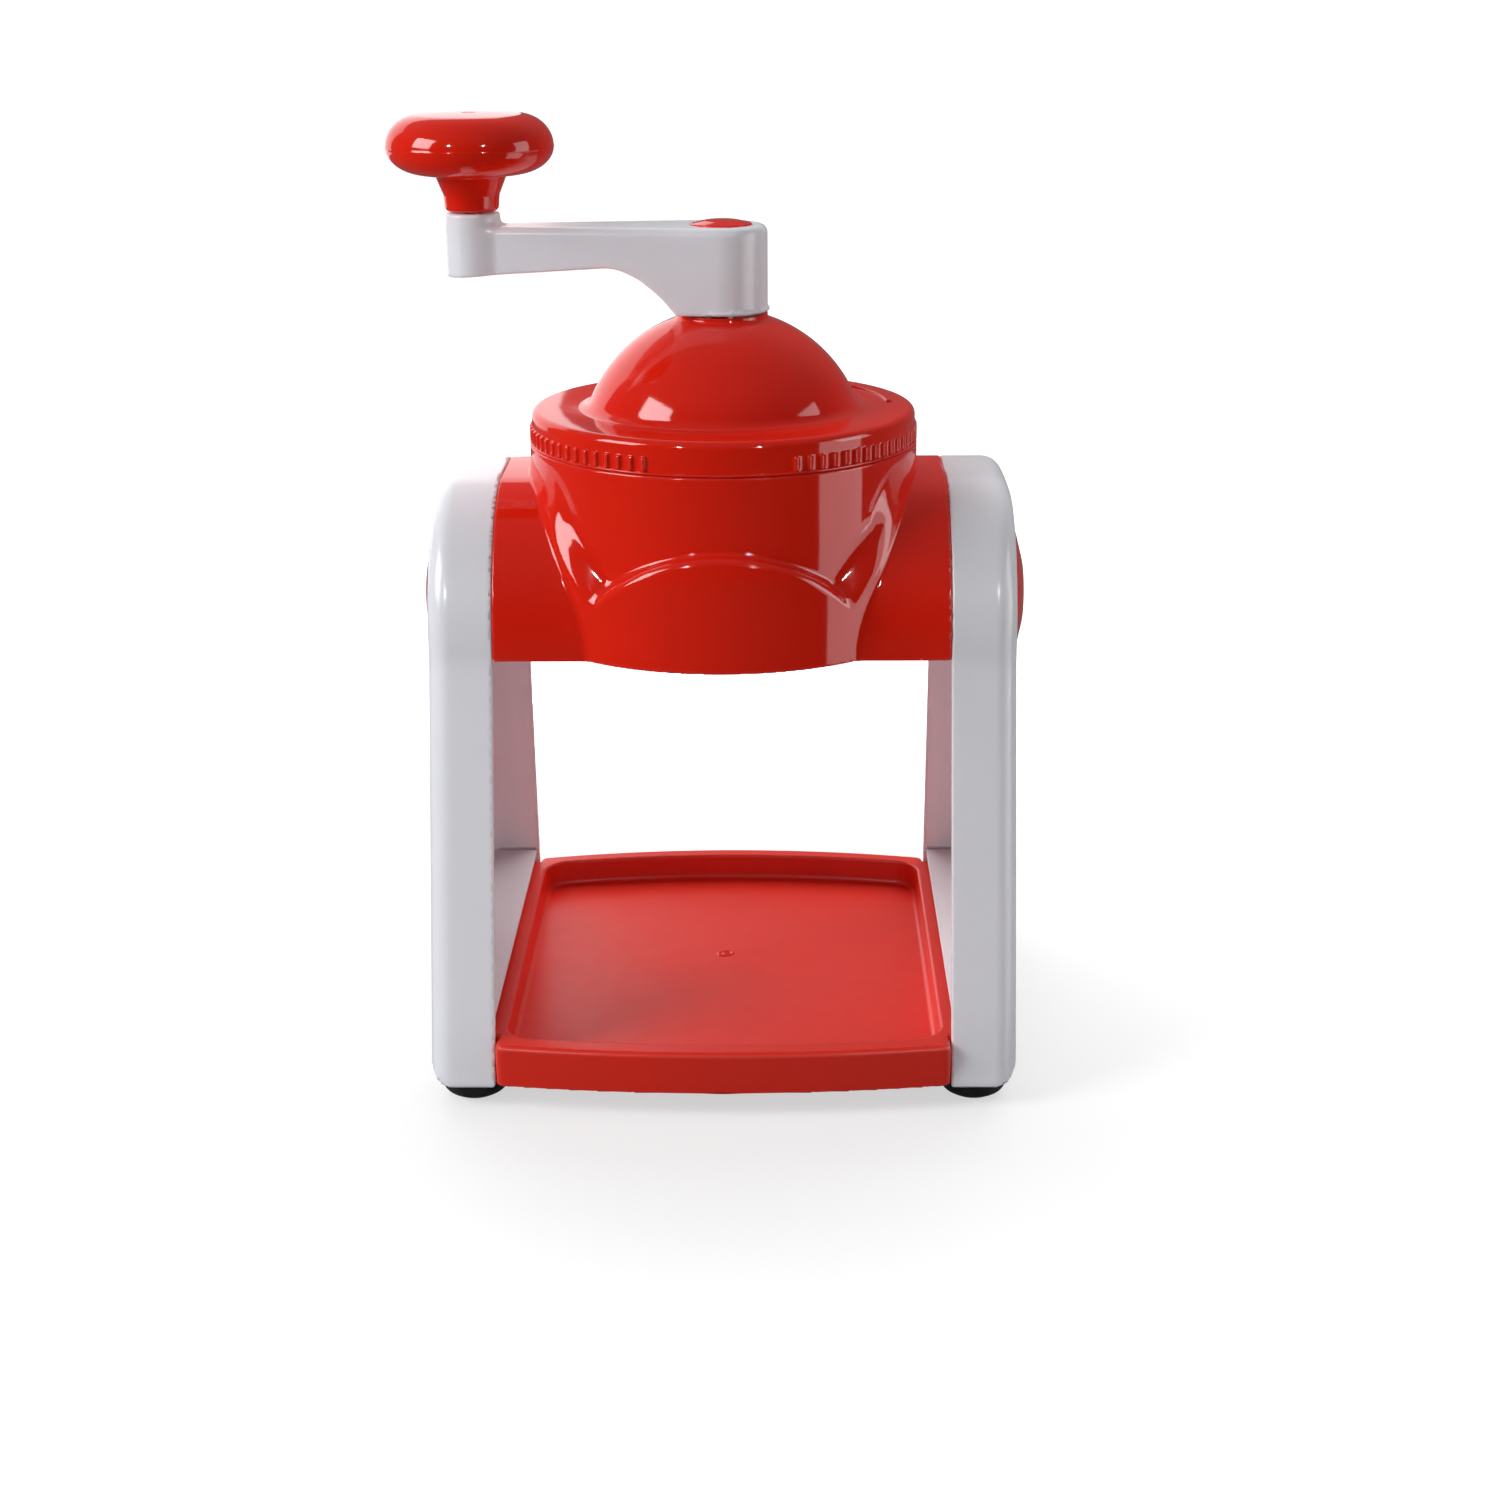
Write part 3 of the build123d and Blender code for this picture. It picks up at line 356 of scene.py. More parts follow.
def hopper_shape(x, y, z):
    r = np.hypot(x, y)
    ax = np.abs(x)
    hopper = both(r - HOPPER_R, z - BODY_TOP, 0.7)
    collar_r = r - 75.7 - (z - BODY_BOTTOM) * 0.01
    taper = (r - HOPPER_R) * 0.948 + (z - COLLAR_TOP) * 0.318
    collar = both(both(collar_r, taper, 3.0), collar_region(x, y, z), 2.4)
    softer = np.clip((ax - 40.0) / 12.0, 0, 1) * np.clip((203.0 - z) / 12.0, 0, 1)
    outside = either(hopper, collar, 1.8) * (1 - softer) + either(hopper, collar, 5.0) * softer
    outline = arch(y, z)
    tube = both(outline, ax - HALF_GAP, 0.5)
    outside = either(outside, tube, 1.0)
    outside = both(outside, BODY_BOTTOM - z, 0.6)
    bowl = both(r - HOPPER_IN, BOWL_FLOOR - z)
    outlet = r - OUTLET_R
    groove = both(np.abs(r - GROOVE_R) - GROOVE_HALF, z - GROOVE_TOP)
    hollow = both(both(outline + WALL, ax - HALF_GAP + WALL, 2.0), 75.9 - r)
    body = without(outside, bowl, 0.7)
    body = without(body, outlet, 0.4)
    body = without(body, groove)
    body = without(body, hollow, 0.5)
    across = np.hypot(y - ARCH_MID, z - SCREW_Z)
    boss = both(across - 8.0, both(ax - BOSS_FACE, 69.0 - ax))
    body = either(body, boss, 0.6)
    return without(body, both(across - 2.6, 70.0 - ax))


skinned("hopper_body_moulding", hopper_shape, (-85, -77, 152), (85, 77, 220.5), 1.1,
        "stand", "red_plastic", ["hopper_body"])


# ------------------------------------------------------------ side panels
KNEE_EASE, KNEE_REACH = 0.95, 3.5
CUP_R, CUP_BORE = 15.5, 13.0
PANEL_RIB_Z = 28.5


def lean(y, z, toe, side):
    """Distance outside a leg's slanting edge that runs from side at the knee to toe at the foot."""
    rise = KNEE_Z - PANEL_BOTTOM
    spread = toe - side
    length = math.hypot(rise, spread)
    return ((y - side) * rise + (z - KNEE_Z) * spread) / length


def panel_outline(y, z):
    """Side outline of a panel: slanting legs up to the knee, then the cross tube's outline."""
    front = eased(-FRONT_SIDE - y, lean(-y, z, FRONT_TOE, FRONT_SIDE), KNEE_EASE)
    rear = eased(y - REAR_SIDE, lean(y, z, REAR_TOE, REAR_SIDE), KNEE_EASE)
    crown = np.hypot(y - ARCH_MID, z - CROWN_Z + CROWN_R) - CROWN_R
    legs = np.maximum(front, rear)
    upper = both(np.maximum(-FRONT_SIDE - y, y - REAR_SIDE), crown, SHOULDER_R)
    return np.where(z > KNEE_Z + KNEE_REACH, upper, np.maximum(legs, crown))


def panel_shape(x, y, z):
    """The right panel; the left one is its mirror image."""
    outline = both(panel_outline(y, z), PANEL_BOTTOM - z, 1.0)
    outside = both(both(outline, x - OUTER_X, 8.0), HALF_GAP - x, 0.7)
    hollow = both(outline + WALL, x - OUTER_X + WALL, 5.5)
    panel = without(outside, hollow, 0.5)
    across = np.hypot(y - ARCH_MID, z - SCREW_Z)
    cup = both(across - CUP_R, both(BOSS_FACE - x, x - OUTER_X + 1.0))
    panel = either(panel, cup, 0.8)
    panel = without(panel, both(across - CUP_BORE, 87.0 - x), 0.4)
    panel = without(panel, across - 3.0)
    rib = both(np.abs(z - PANEL_RIB_Z) - 1.0, np.abs(y + 5.5) - 87.5)
    rib = both(rib, both(80.9 - x, x - OUTER_X + 1.0))
    rib = both(rib, outside + 1.0)
    return either(panel, rib, 0.5)


def mirrored(shape):
    return lambda x, y, z: shape(-x, y, z)


PANEL_STEP = 1.3
skinned("right_panel_moulding", panel_shape, (80, -101, 7.5), (104, 89, 209), PANEL_STEP,
        "stand", "white_plastic", ["right_side_panel"])
skinned("left_panel_moulding", mirrored(panel_shape), (-104, -101, 7.5), (-80, 89, 209), PANEL_STEP,
        "stand", "white_plastic", ["left_side_panel"])


# -------------------------------------------------------------------- tray
TRAY_BOTTOM, TRAY_TOP, TRAY_FLOOR = 9.0, 24.4, 14.4
TRAY_WALL = 2.4
FRONT_BOW, REAR_BOW, BOW_HALF = 6.5, 9.6, 80.0


def bowed(x, y, half, front, rear, corner):
    """Plan of the tray: straight sides, front and rear bowed outwards."""
    front_r = (BOW_HALF ** 2 + FRONT_BOW ** 2) / (2 * FRONT_BOW)
    rear_r = (BOW_HALF ** 2 + REAR_BOW ** 2) / (2 * REAR_BOW)
    ends = np.maximum(
        np.hypot(x, y + front + FRONT_BOW - front_r) - front_r,
        np.hypot(x, y - rear - REAR_BOW + rear_r) - rear_r,
    )
    return both(ends, np.abs(x) - half, corner)


def tray_shape(x, y, z):
    plan = bowed(x, y, 80.0, 100.5, 86.0, 2.5)
    tongue = both(np.abs(x) - 86.0, np.abs(y + 4.75) - 86.75, 1.0)
    tongue = both(tongue, 10.7 - z)
    outline = either(plan, tongue)
    outside = both(both(outline, z - TRAY_TOP, 1.8), TRAY_BOTTOM - z, 0.5)
    draft = (TRAY_TOP - z) * 0.05
    well_plan = bowed(x, y, 77.0, 91.5, 78.5, 9.0)
    well = both(well_plan + draft, TRAY_FLOOR - z, 1.6)
    tray = without(outside, well, 1.0)
    tub = both(well_plan + draft - TRAY_WALL, TRAY_FLOOR - TRAY_WALL - z, 4.0)
    hollow = without(both(outline + TRAY_WALL, z - TRAY_TOP + TRAY_WALL, 1.0), tub)
    tray = without(tray, hollow, 0.4)
    post = np.hypot(np.abs(x) - 73.0, np.abs(y + 5.0) - 45.0)
    posts = both(post - 4.0, both(10.5 - z, z - 13.0))
    tray = either(tray, posts, 0.4)
    return without(tray, both(post - 1.4, z - 13.6))


skinned("base_tray_moulding", tray_shape, (-86.5, -107.5, 8.5), (86.5, 96.5, 25), 1.0,
        "stand", "red_plastic", ["base_tray"])

ROUND = even_angles(160)
gate_line = [(0, 14.62), (0.9, 14.66), (1.3, 14.5), (1.9, 14.48), (2.3, 14.66), (2.9, 14.62), (3.4, 14.3)]
points, faces = turned(gate_line, even_angles(48), lambda r, z, a: 0.12 * r * np.sin(2 * a + 0.6),
                       at=(-1.0, 6.0))
make_piece("tray_gate_mark", points, faces, "stand", "red_plastic", [])

# -------------------------------------------------------------------- feet
FEET = {"front_left": (-89, -84), "front_right": (89, -84), "rear_left": (-89, 71), "rear_right": (89, 71)}
foot_line = rounded([(0, 0.5, 0), (4.5, 0.5, 0.4), (5.2, 0, 0.3), (7.4, 0, 1.5), (11.2, 2.2, 4),
                     (12.4, 6.6, 1.0), (12.0, 8.0, 0.3), (2.0, 8.0, 0), (2.0, 10.5, 0), (2.8, 10.5, 0.3),
                     (1.2, 15.5, 0.5), (0, 15.5, 0)])
for place, (x, y) in FEET.items():
    points, faces = turned(foot_line, even_angles(72), at=(x, y))
    make_piece("rubber_foot_" + place, points, faces, "stand", "black_rubber", ["foot_" + place])

# -------------------------------------------------------------------- caps
cap_line = rounded([(0, OUTER_X + 5.2, 0), (10.7, OUTER_X + 4.2, 0.5), (10.7, OUTER_X - 6.0, 0.3),
                    (12.7, OUTER_X - 6.0, 0.3), (12.7, OUTER_X, 0.3), (28.0, OUTER_X, 0.3),
                    (28.0, OUTER_X + 1.9, 1.4), (22.0, OUTER_X + 3.9, 12), (12.0, OUTER_X + 6.4, 16),
                    (0, OUTER_X + 7.4, 0)])
for side, name in ((1, "right"), (-1, "left")):
    points, faces = turned(cap_line, even_angles(120))
    points = about_x(points, ARCH_MID, SCREW_Z)
    if side < 0:
        points = [(-x, y, z) for x, y, z in points]
        faces = [f[::-1] for f in faces]
    make_piece(name + "_side_cover", points, faces, "stand", "red_plastic", [name + "_side_cap"])

# --------------------------------------------------------------------- lid
LID_TOP = 232.0
DOME_R, DOME_Z = 52.1, 214.2
RIB_STEP, RIB_CLEAR = 4, 19
RIB_HALF = math.radians(0.62)
SHOULDER_FILLET = 5.0
NECK_R, NECK_TOP = 16.2, 265.3
NECK_FILLET = 1.4


def dome_line(radius, low_z, fillet):
    """Dome between a flat ring at low_z and the neck, blended into both."""
    rise = low_z + fillet - DOME_Z
    foot = math.degrees(math.asin(rise / (radius + fillet)))
    foot_x = math.sqrt((radius + fillet) ** 2 - rise ** 2)
    neck_x = NECK_R + NECK_FILLET
    neck_z = DOME_Z + math.sqrt((radius + NECK_FILLET) ** 2 - neck_x ** 2)
    head = math.degrees(math.acos(neck_x / (radius + NECK_FILLET)))
    line = arc((foot_x, low_z + fillet), fillet, 270, 180 + foot, 12)
    line += arc((0, DOME_Z), radius, foot, head, 60)[1:]
    line += arc((neck_x, neck_z), NECK_FILLET, 180 + head, 180, 8)[1:]
    return line


def lid_angles():
    """Angles for the lid's rings, closer together at each grip rib."""
    marks = []
    for a in range(0, 360, RIB_STEP):
        if min(abs(a - 90), abs(a - 270)) > RIB_CLEAR:
            marks += [math.radians(a) + s * RIB_HALF for s in (-1.25, -1.0, -0.72, 0, 0.72, 1.0, 1.25)]
            marks.append(math.radians(a + RIB_STEP / 2))
        else:
            marks += [math.radians(a), math.radians(a + RIB_STEP / 2)]
    return np.array(sorted(m % (2 * math.pi) for m in marks))


def rib_swell(r, z, angles):
    """Grip ribs on the skirt: 0.8 mm proud, between two heights."""
    if r < 66.0 or not 221.0 < z < 228.0:
        return 0.0
    rise = min(1.0, max(0.0, (226.3 - z) / 0.5), max(0.0, (z - 221.0) / 0.2))
    degrees = np.degrees(angles)
    nearest = np.round(degrees / RIB_STEP) * RIB_STEP
    off = np.radians(np.abs(degrees - nearest)) / RIB_HALF
    bare = np.minimum(np.abs(nearest - 90), np.abs(nearest - 270)) <= RIB_CLEAR
    rib = np.clip((1.25 - off) / 0.5, 0, 1)
    rib = rib * rib * (3 - 2 * rib)
    return np.where(bare, 0.0, 0.8 * rise * rib)


skirt = [np.array((69.2, z)) for z in (221.2, 222.4, 224.0, 225.4, 225.8, 226.0, 226.2, 226.4)]
lid_line = rounded([(64.2, 222.0, 0), (64.2, 212.0, 0.5), (66.7, 212.0, 0.6), (66.7, 220.2, 0.2),
                    (70.0, 220.2, 0.3), (70.0, 221.0, 0.3), (69.2, 221.0, 0)], 3)[:-1]
lid_line += [np.array((69.25, 221.0))] + skirt
lid_line += rounded([(69.2, 226.6, 0), (69.2, LID_TOP, 4.0), (58.0, LID_TOP, 0)], 12)
lid_line += dome_line(DOME_R, LID_TOP, SHOULDER_FILLET)
lid_line += rounded([(NECK_R, NECK_TOP - 0.3, 0), (NECK_R, NECK_TOP, 0.5), (8.25, NECK_TOP, 0),
                     (8.25, 244.0, 0), (11.7, 244.0, 0.5), (11.7, 256.0, 0)], 4)
lid_line += arc((0, DOME_Z), DOME_R - 2.5, 76, 19, 40)
lid_line += rounded([(48.0, 229.5, 0), (64.2, 229.5, 1.0), (64.2, 222.5, 0)], 4)
points, faces = turned(lid_line, lid_angles(), rib_swell, closed=True)
make_piece("lid_moulding", points, faces, "lid", "red_plastic", ["lid"])

ARROW_R = 60.5


def arrow_shape(x, y, z):
    """Raised arrow on the lid's ring, for the turning direction: a bent bar and a head."""
    angle = np.degrees(np.arctan2(y, x))
    r = np.hypot(x, y)
    along = np.radians(angle - 23.0) * ARROW_R
    bar = both(np.abs(r - ARROW_R) - 1.2, np.abs(along) - 19.0, 0.6)
    tip = along - 18.5
    head = both(-tip, (np.abs(r - ARROW_R) * 6.0 + (tip - 6.5) * 4.0) / math.hypot(6.0, 4.0), 0.5)
    return both(either(bar, head, 0.4), both(z - LID_TOP - 0.6, LID_TOP - 0.5 - z), 0.35)


skinned("lid_turn_arrow", arrow_shape, (40, 0, 231.4), (64, 56, 232.7), 0.35, "lid", "red_plastic", [])


# ------------------------------------------------------------------- crank
CRANK_R = 88.2
HUB_R, HUB_BOTTOM, HUB_TOP = 16.2, 266.0, 296.4
BOSS_R, BOSS_TOP = 9.8, 301.0


def under_arm(x):
    """Height of the arm's lower edge: nearly level, then sweeping down into the hub."""
    sweep = np.clip((x + 41.0) / 25.0, 0, 1)
    level = 278.6 + (np.clip(x, -98.0, -41.0) + 98.0) * 0.068
    return level - (level - HUB_BOTTOM) * sweep ** 1.9


def arm_shape(x, y, z):
    ay = np.abs(y)
    r = np.hypot(x, y)
    flank = ay * 0.995 - (x + CRANK_R) * 0.0998 - 7.4
    along = (x + CRANK_R) * 0.995 + ay * 0.0998
    plan = np.where(along > CRANK_R * 0.995, r - HUB_R, flank)
    bar = both(both(plan, z - HUB_TOP, 2.8), -CRANK_R - 2.0 - x)
    from_boss = np.hypot(x + CRANK_R, y)
    boss = both(from_boss - BOSS_R, z - BOSS_TOP, 1.2)
    arm = both(either(bar, boss, 2.6), (under_arm(x) - z) * 0.8, 0.8)
    hub = both(both(r - HUB_R, z - HUB_TOP, 2.8), HUB_BOTTOM - z, 0.4)
    arm = both(np.minimum(arm, hub), HUB_BOTTOM - z)
    lip = both(r - 16.9, np.abs(z - HUB_BOTTOM - 0.9) - 0.6, 0.4)
    arm = either(arm, lip, 0.3)
    inner = both(ay - 4.6 - (x + 70.0) * 0.1022, np.maximum(-70.0 - x, x + 25.0), 1.5)
    arm = without(arm, both(inner, z - HUB_TOP + 3.0), 0.5)
    square = both(np.maximum(np.abs(x), ay) - 4.0, z - 284.0)
    arm = without(arm, square)
    arm = without(arm, r - 2.0)
    arm = without(arm, both(r - 6.5, 287.0 - z))
    arm = without(arm, both(r - 11.0, 293.4 - z), 0.3)
    arm = without(arm, from_boss - 3.0)
    return without(arm, both(from_boss - 6.0, z - 281.0))


skinned("crank_arm_moulding", arm_shape, (-98.5, -17.5, 265.5), (17.5, 17.5, 301.5), 0.75,
        "crank", "white_plastic", ["crank_arm"])

cap_line = rounded([(0, 293.4, 0), (5.3, 293.4, 0), (5.3, 291.4, 0.2), (6.5, 291.4, 0.2), (6.5, 293.4, 0),
                    (10.8, 293.4, 0.2), (10.8, 296.7, 0.5), (6.0, 297.8, 6), (0, 298.2, 0)])
points, faces = turned(cap_line, even_angles(96))
make_piece("crank_disc", points, faces, "crank", "red_plastic", ["crank_cap"])

# -------------------------------------------------------------------- knob
KNOB_MID = 323.6
knob_line = rounded([(0, 323.0, 0), (3.06, 323.0, 0), (3.06, 301.3, 0.3), (9.4, 301.3, 1.9),
                     (9.9, 307.0, 3.0), (12.9, 314.4, 3.0), (16.1, 314.2, 0)], 8)
knob_line += [np.array((16.1 + 13.4 * math.sin(a), KNOB_MID - 9.4 * math.cos(a)))
              for a in np.linspace(0.08, math.pi / 2 - 0.03, 22)]
knob_line += [np.array(p) for p in ((29.55, 323.4), (29.6, 323.6), (29.55, 323.8))]
knob_line += [np.array((17.5 + 12.0 * math.cos(a), KNOB_MID + 11.1 * math.sin(a)))
              for a in np.linspace(0.03, math.pi / 2 - 0.04, 22)]
knob_line += [np.array((r, 335.2 - 0.5 * (r / 17.5) ** 2)) for r in (16.0, 12.0, 9.0, 6.0, 3.4)]
knob_line += [np.array(p) for p in ((2.6, 335.16), (2.2, 335.0), (1.6, 334.96), (0.8, 335.04), (0, 335.06))]
points, faces = turned(knob_line, ROUND, at=(-CRANK_R, 0.0))
make_piece("knob_moulding", points, faces, "knob", "red_plastic", ["knob"])


# --------------------------------------------------------------- materials
def new_material(name):
    material = bpy.data.materials.new(name)
    material.use_nodes = True
    tree = material.node_tree
    return material, tree, tree.nodes["Principled BSDF"]


def node(tree, kind, inputs=(), **settings):
    made = tree.nodes.new(kind)
    for key, value in settings.items():
        setattr(made, key, value)
    for key, value in dict(inputs).items():
        if isinstance(value, bpy.types.NodeSocket):
            tree.links.new(value, made.inputs[key])
        else:
            made.inputs[key].default_value = value
    return made


def spread(tree, value, low, high):
    """Maps a 0 to 1 value onto low to high."""
    made = node(tree, "ShaderNodeMapRange", {"Value": value, "To Min": low, "To Max": high})
    return made.outputs["Result"]


def smooth_range(tree, value, start, end):
    """Maps value smoothly from start to end, each an (input, output) pair."""
    made = node(tree, "ShaderNodeMapRange",
                {"Value": value, "From Min": start[0], "From Max": end[0],
                 "To Min": start[1], "To Max": end[1]}, interpolation_type="SMOOTHSTEP")
    return made.outputs["Result"]


def noise(tree, place, scale, detail=3.0, rough=0.55):
    made = node(tree, "ShaderNodeTexNoise",
                {"Vector": place, "Scale": scale, "Detail": detail, "Roughness": rough})
    return made.outputs["Fac"]


def mixed(tree, factor, a, b):
    made = node(tree, "ShaderNodeMix", data_type="RGBA")
    factor_in, a_in, b_in, colour_out = made.inputs[0], made.inputs[6], made.inputs[7], made.outputs[2]
    for socket, value in ((factor_in, factor), (a_in, a), (b_in, b)):
        if isinstance(value, bpy.types.NodeSocket):
            tree.links.new(value, socket)
        else:
            socket.default_value = value
    return colour_out


def product_of(tree, a, b, operation="MULTIPLY"):
    made = node(tree, "ShaderNodeMath", operation=operation)
    for socket, value in zip(made.inputs, (a, b)):
        if isinstance(value, bpy.types.NodeSocket):
            tree.links.new(value, socket)
        else:
            socket.default_value = value
    return made.outputs[0]


def moulded_plastic(name, colour, deep, roughness, peel, specks, scatter=0.0, wear=0.5):
    """Glossy moulded plastic: faint flow clouds, orange peel, fine scuffs, worn edges and dust specks."""
    material, tree, shader = new_material(name)
    place = node(tree, "ShaderNodeTexCoord").outputs["Object"]
    clouds = noise(tree, place, 22.0, 2.0)
    base = mixed(tree, spread(tree, clouds, -0.2, 1.2), colour, deep)
    edge = node(tree, "ShaderNodeNewGeometry").outputs["Pointiness"]
    worn = node(tree, "ShaderNodeMapRange", {"Value": edge, "From Min": 0.52, "From Max": 0.60})
    worn = worn.outputs["Result"]
    scuff = noise(tree, place, 260.0, 4.0, 0.7)
    worn = product_of(tree, worn, spread(tree, scuff, 0.0, wear))
    pale = tuple(min(1.0, c * 0.8 + 0.12) for c in colour[:3]) + (1.0,)
    base = mixed(tree, worn, base, pale)
    dots = node(tree, "ShaderNodeTexVoronoi", {"Vector": place, "Scale": 95.0, "Randomness": 1.0})
    dot = node(tree, "ShaderNodeMapRange",
               {"Value": dots.outputs["Distance"], "From Min": 0.035, "From Max": 0.02})
    few = node(tree, "ShaderNodeMath", operation="GREATER_THAN")
    split = node(tree, "ShaderNodeSeparateColor", {"Color": dots.outputs["Color"]})
    tree.links.new(split.outputs[0], few.inputs[0])
    few.inputs[1].default_value = 0.93
    dust = product_of(tree, product_of(tree, dot.outputs["Result"], few.outputs[0]), specks)
    base = mixed(tree, dust, base, (0.75, 0.68, 0.62, 1.0))
    tree.links.new(base, shader.inputs["Base Color"])
    rough = spread(tree, clouds, roughness * 0.8, roughness * 1.25)
    rough = product_of(tree, rough, product_of(tree, worn, 0.25), "ADD")
    rough = product_of(tree, rough, product_of(tree, dust, 0.4), "ADD")
    tree.links.new(rough, shader.inputs["Roughness"])
    waves = noise(tree, place, 75.0, 1.0)
    fine = noise(tree, place, 700.0, 2.0)
    height = product_of(tree, spread(tree, waves, 0.0, 1.0), spread(tree, fine, 0.0, 0.12), "ADD")
    bump = node(tree, "ShaderNodeBump", {"Height": height, "Strength": peel, "Distance": 0.0006})
    tree.links.new(bump.outputs["Normal"], shader.inputs["Normal"])
    shader.inputs["IOR"].default_value = 1.5
    if scatter:
        shader.inputs["Subsurface Weight"].default_value = scatter
        shader.inputs["Subsurface Radius"].default_value = (0.004, 0.0035, 0.0032)
        shader.inputs["Subsurface Scale"].default_value = 1.0
    return material


def rubber(name):
    material, tree, shader = new_material(name)
    place = node(tree, "ShaderNodeTexCoord").outputs["Object"]
    grain = noise(tree, place, 1400.0, 3.0)
    dust = noise(tree, place, 90.0, 4.0, 0.65)
    base = mixed(tree, spread(tree, dust, -0.4, 0.9), (0.012, 0.012, 0.013, 1), (0.05, 0.048, 0.047, 1))
    tree.links.new(base, shader.inputs["Base Color"])
    tree.links.new(spread(tree, dust, 0.42, 0.68), shader.inputs["Roughness"])
    bump = node(tree, "ShaderNodeBump", {"Height": grain, "Strength": 0.25, "Distance": 0.0002})
    tree.links.new(bump.outputs["Normal"], shader.inputs["Normal"])
    return material


def steel(name, colour, roughness, stretch, brushed):
    """Metal with a directional grain and faint stains."""
    material, tree, shader = new_material(name)
    place = node(tree, "ShaderNodeTexCoord").outputs["Object"]
    grain_place = node(tree, "ShaderNodeMapping", {"Vector": place, "Scale": stretch}).outputs[0]
    grain = noise(tree, grain_place, 1500.0, 3.0, 0.6)
    stain = noise(tree, place, 60.0, 4.0)
    dark = tuple(c * 0.72 for c in colour[:3]) + (1.0,)
    base = mixed(tree, spread(tree, stain, -0.3, 0.8), colour, dark)
    tree.links.new(base, shader.inputs["Base Color"])
    shader.inputs["Metallic"].default_value = 1.0
    rough = product_of(tree, spread(tree, grain, roughness * 0.7, roughness * 1.4),
                       spread(tree, stain, -0.05, 0.1), "ADD")
    tree.links.new(rough, shader.inputs["Roughness"])
    bump = node(tree, "ShaderNodeBump", {"Height": grain, "Strength": brushed, "Distance": 0.0001})
    tree.links.new(bump.outputs["Normal"], shader.inputs["Normal"])
    return material


RED = moulded_plastic("red_moulded_plastic", (0.82, 0.019, 0.006, 1), (0.74, 0.014, 0.004, 1),
                      roughness=0.07, peel=0.06, specks=0.5)
WHITE = moulded_plastic("white_moulded_plastic", (0.88, 0.88, 0.92, 1), (0.85, 0.85, 0.89, 1),
                        roughness=0.22, peel=0.04, specks=0.0, scatter=0.25, wear=0.0)
GRAINED = moulded_plastic("red_grained_plastic", (0.86, 0.024, 0.008, 1), (0.78, 0.018, 0.006, 1),
                          roughness=0.32, peel=0.35, specks=0.3)
RUBBER = rubber("black_moulded_rubber")
STAINLESS = steel("brushed_stainless", (0.60, 0.60, 0.59, 1), 0.26, (0.06, 1.0, 1.0), 0.4)
PLATED = steel("zinc_plated_steel", (0.66, 0.67, 0.68, 1), 0.22, (1.0, 1.0, 0.3), 0.15)
NYLON = moulded_plastic("natural_nylon", (0.72, 0.68, 0.58, 1), (0.66, 0.61, 0.50, 1),
                        roughness=0.42, peel=0.2, specks=0.0)
LOOKS = {
    "red_plastic": RED,
    "white_plastic": WHITE,
    "black_rubber": RUBBER,
    "stainless_steel": STAINLESS,
    "plated_steel": PLATED,
    "natural_nylon": NYLON,
}
slot_of = {part["node"]: part["material_slot"] for part in frame["record"]["subparts"]}
for name, cad_node in frame["nodes"].items():
    look = LOOKS[slot_of[name]]
    cad_node.data.materials.clear()
    cad_node.data.materials.append(look)
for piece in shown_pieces():
    if piece.name not in frame["nodes"]:
        piece.data.materials.clear()
        grained = piece.name == "base_tray_moulding"
        piece.data.materials.append(GRAINED if grained else LOOKS[piece["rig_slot"]])


# ------------------------------------------------------- floor and lights
FLOOR_HALF = 40.0
# The near glow is lower than the far one: painted shade on the floor around the object.
GLOW_NEAR, GLOW_FAR = (0.12, 0.6), (0.5, 1.0)


def add_floor():
    """A mid grey floor that the camera sees as pale: its glow reaches camera rays only.

    GLOW_NEAR and GLOW_FAR are each a distance from the middle in metres and the glow there. The glow is
    weaker near the middle, so the floor is painted greyer around the object: painted shade under it."""
    mesh = bpy.data.meshes.new("studio_floor")
    signs = ((-1, -1), (1, -1), (1, 1), (-1, 1))
    mesh.from_pydata([(FLOOR_HALF * i, FLOOR_HALF * j, 0) for i, j in signs], [], [(0, 1, 2, 3)])
    floor = bpy.data.objects.new("studio_floor", mesh)
    bpy.context.scene.collection.objects.link(floor)
    material, tree, shader = new_material("pale_floor")
    place = node(tree, "ShaderNodeTexCoord").outputs["Object"]
    tone = noise(tree, place, 3.0, 2.0)
    base = mixed(tree, tone, (0.42, 0.42, 0.42, 1), (0.40, 0.40, 0.405, 1))
    tree.links.new(base, shader.inputs["Base Color"])
    shader.inputs["Roughness"].default_value = 0.9
    shader.inputs["Specular IOR Level"].default_value = 0.1
    shader.inputs["Emission Color"].default_value = (1.0, 1.0, 1.0, 1)
    reach = node(tree, "ShaderNodeVectorMath", {0: place}, operation="LENGTH").outputs["Value"]
    # Painted shade: the camera-only glow drops towards the middle, so the floor reads greyer around the
    # object.
    glow = smooth_range(tree, reach, GLOW_NEAR, GLOW_FAR)
    seen = node(tree, "ShaderNodeLightPath").outputs["Is Camera Ray"]
    tree.links.new(product_of(tree, glow, seen), shader.inputs["Emission Strength"])
    mesh.materials.append(material)
    floor.visible_glossy = False


def add_area(name, at, target, size, radiance, colour=(1.0, 1.0, 1.0)):
    """A rectangular light that no camera sees; places are in millimetres from the hopper's axis."""
    data = bpy.data.lights.new(name, "AREA")
    data.shape = "RECTANGLE"
    data.size, data.size_y = size
    data.energy = radiance * math.pi * size[0] * size[1]
    data.color = colour
    light = bpy.data.objects.new(name, data)
    bpy.context.scene.collection.objects.link(light)
    start, end = in_frame(at), in_frame(target)
    aim = (end - start).to_track_quat("-Z", "Y").to_matrix().to_4x4()
    light.matrix_world = Matrix.Translation(start) @ aim
    light.visible_camera = False


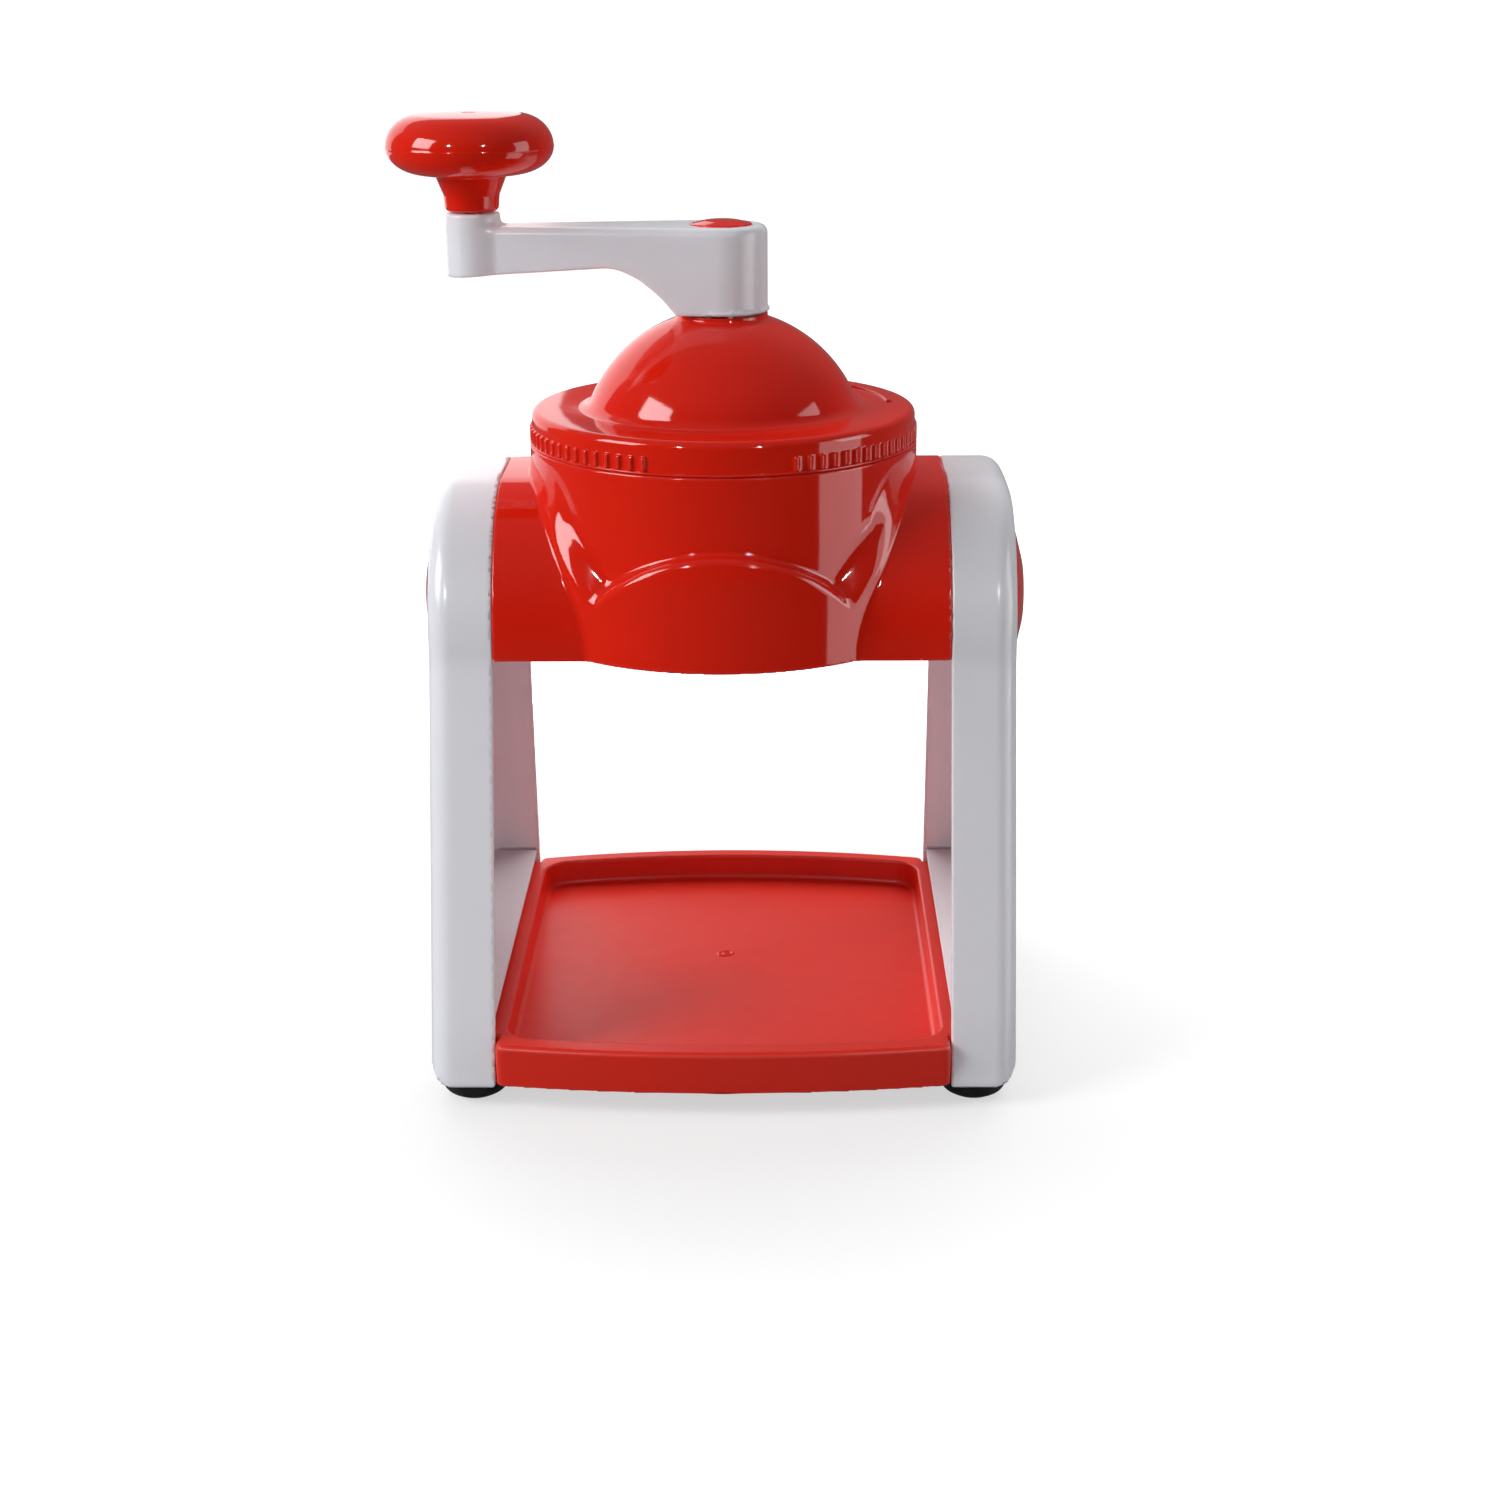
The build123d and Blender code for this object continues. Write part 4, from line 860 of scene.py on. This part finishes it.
def add_world():
    """White to the camera; to all other rays a dim room, brighter behind the object and overhead."""
    world = bpy.data.worlds.new("studio")
    bpy.context.scene.world = world
    world.use_nodes = True
    tree = world.node_tree
    direction = node(tree, "ShaderNodeTexCoord").outputs["Generated"]
    split = node(tree, "ShaderNodeSeparateXYZ", {"Vector": direction})
    behind = smooth_range(tree, split.outputs["Y"], (-0.8, 0.015), (0.9, 0.12))
    above = smooth_range(tree, split.outputs["Z"], (0.2, 0.0), (0.9, 0.12))
    room = product_of(tree, behind, above, "ADD")
    seen = node(tree, "ShaderNodeLightPath").outputs["Is Camera Ray"]
    level = node(tree, "ShaderNodeMix", {"Factor": seen, "A": room, "B": 1.0})
    background = tree.nodes["Background"]
    background.inputs["Color"].default_value = (0.97, 0.98, 1.0, 1)
    tree.links.new(level.outputs["Result"], background.inputs["Strength"])


add_floor()
add_world()
add_area("key_window", (-1220, -555, 890), (0, 0, 200), (0.7, 0.7), 10.0, (0.97, 0.98, 1.0))
add_area("back_left", (-800, 1300, 560), (0, 0, 200), (1.4, 1.3), 1.15)
add_area("near_fill", (-80, -420, 30), (0, 0, 60), (0.8, 0.2), 0.8)
add_area("back_low", (0, 520, 140), (0, 0, 60), (0.7, 0.25), 1.6)
add_area("back_fill", (100, 1050, 1050), (0, 0, 60), (2.4, 1.0), 2.9)
add_area("top_front", (0, -650, 1300), (0, 0, 60), (1.6, 0.8), 0.3)
add_area("right_window", (1150, -150, 480), (0, 0, 200), (0.5, 0.7), 2.8)
add_area("right_card", (378, -152, 180), (40, -56, 180), (0.21, 0.38), 2.3, (1.0, 0.96, 0.97))
add_area("lamp_left", (-600, -1230, 900), (0, 0, 200), (0.05, 0.05), 500.0)
add_area("lamp_right", (520, -1250, 900), (0, 0, 200), (0.05, 0.05), 400.0)
# Cards and lamps that only make reflections, then fills that only light the surfaces.
for name in ("right_card", "lamp_left", "lamp_right"):
    bpy.data.objects[name].visible_diffuse = False
for name in ("back_fill", "top_front", "near_fill", "back_low"):
    bpy.data.objects[name].visible_glossy = False
bpy.context.scene.view_settings.view_transform = "Standard"
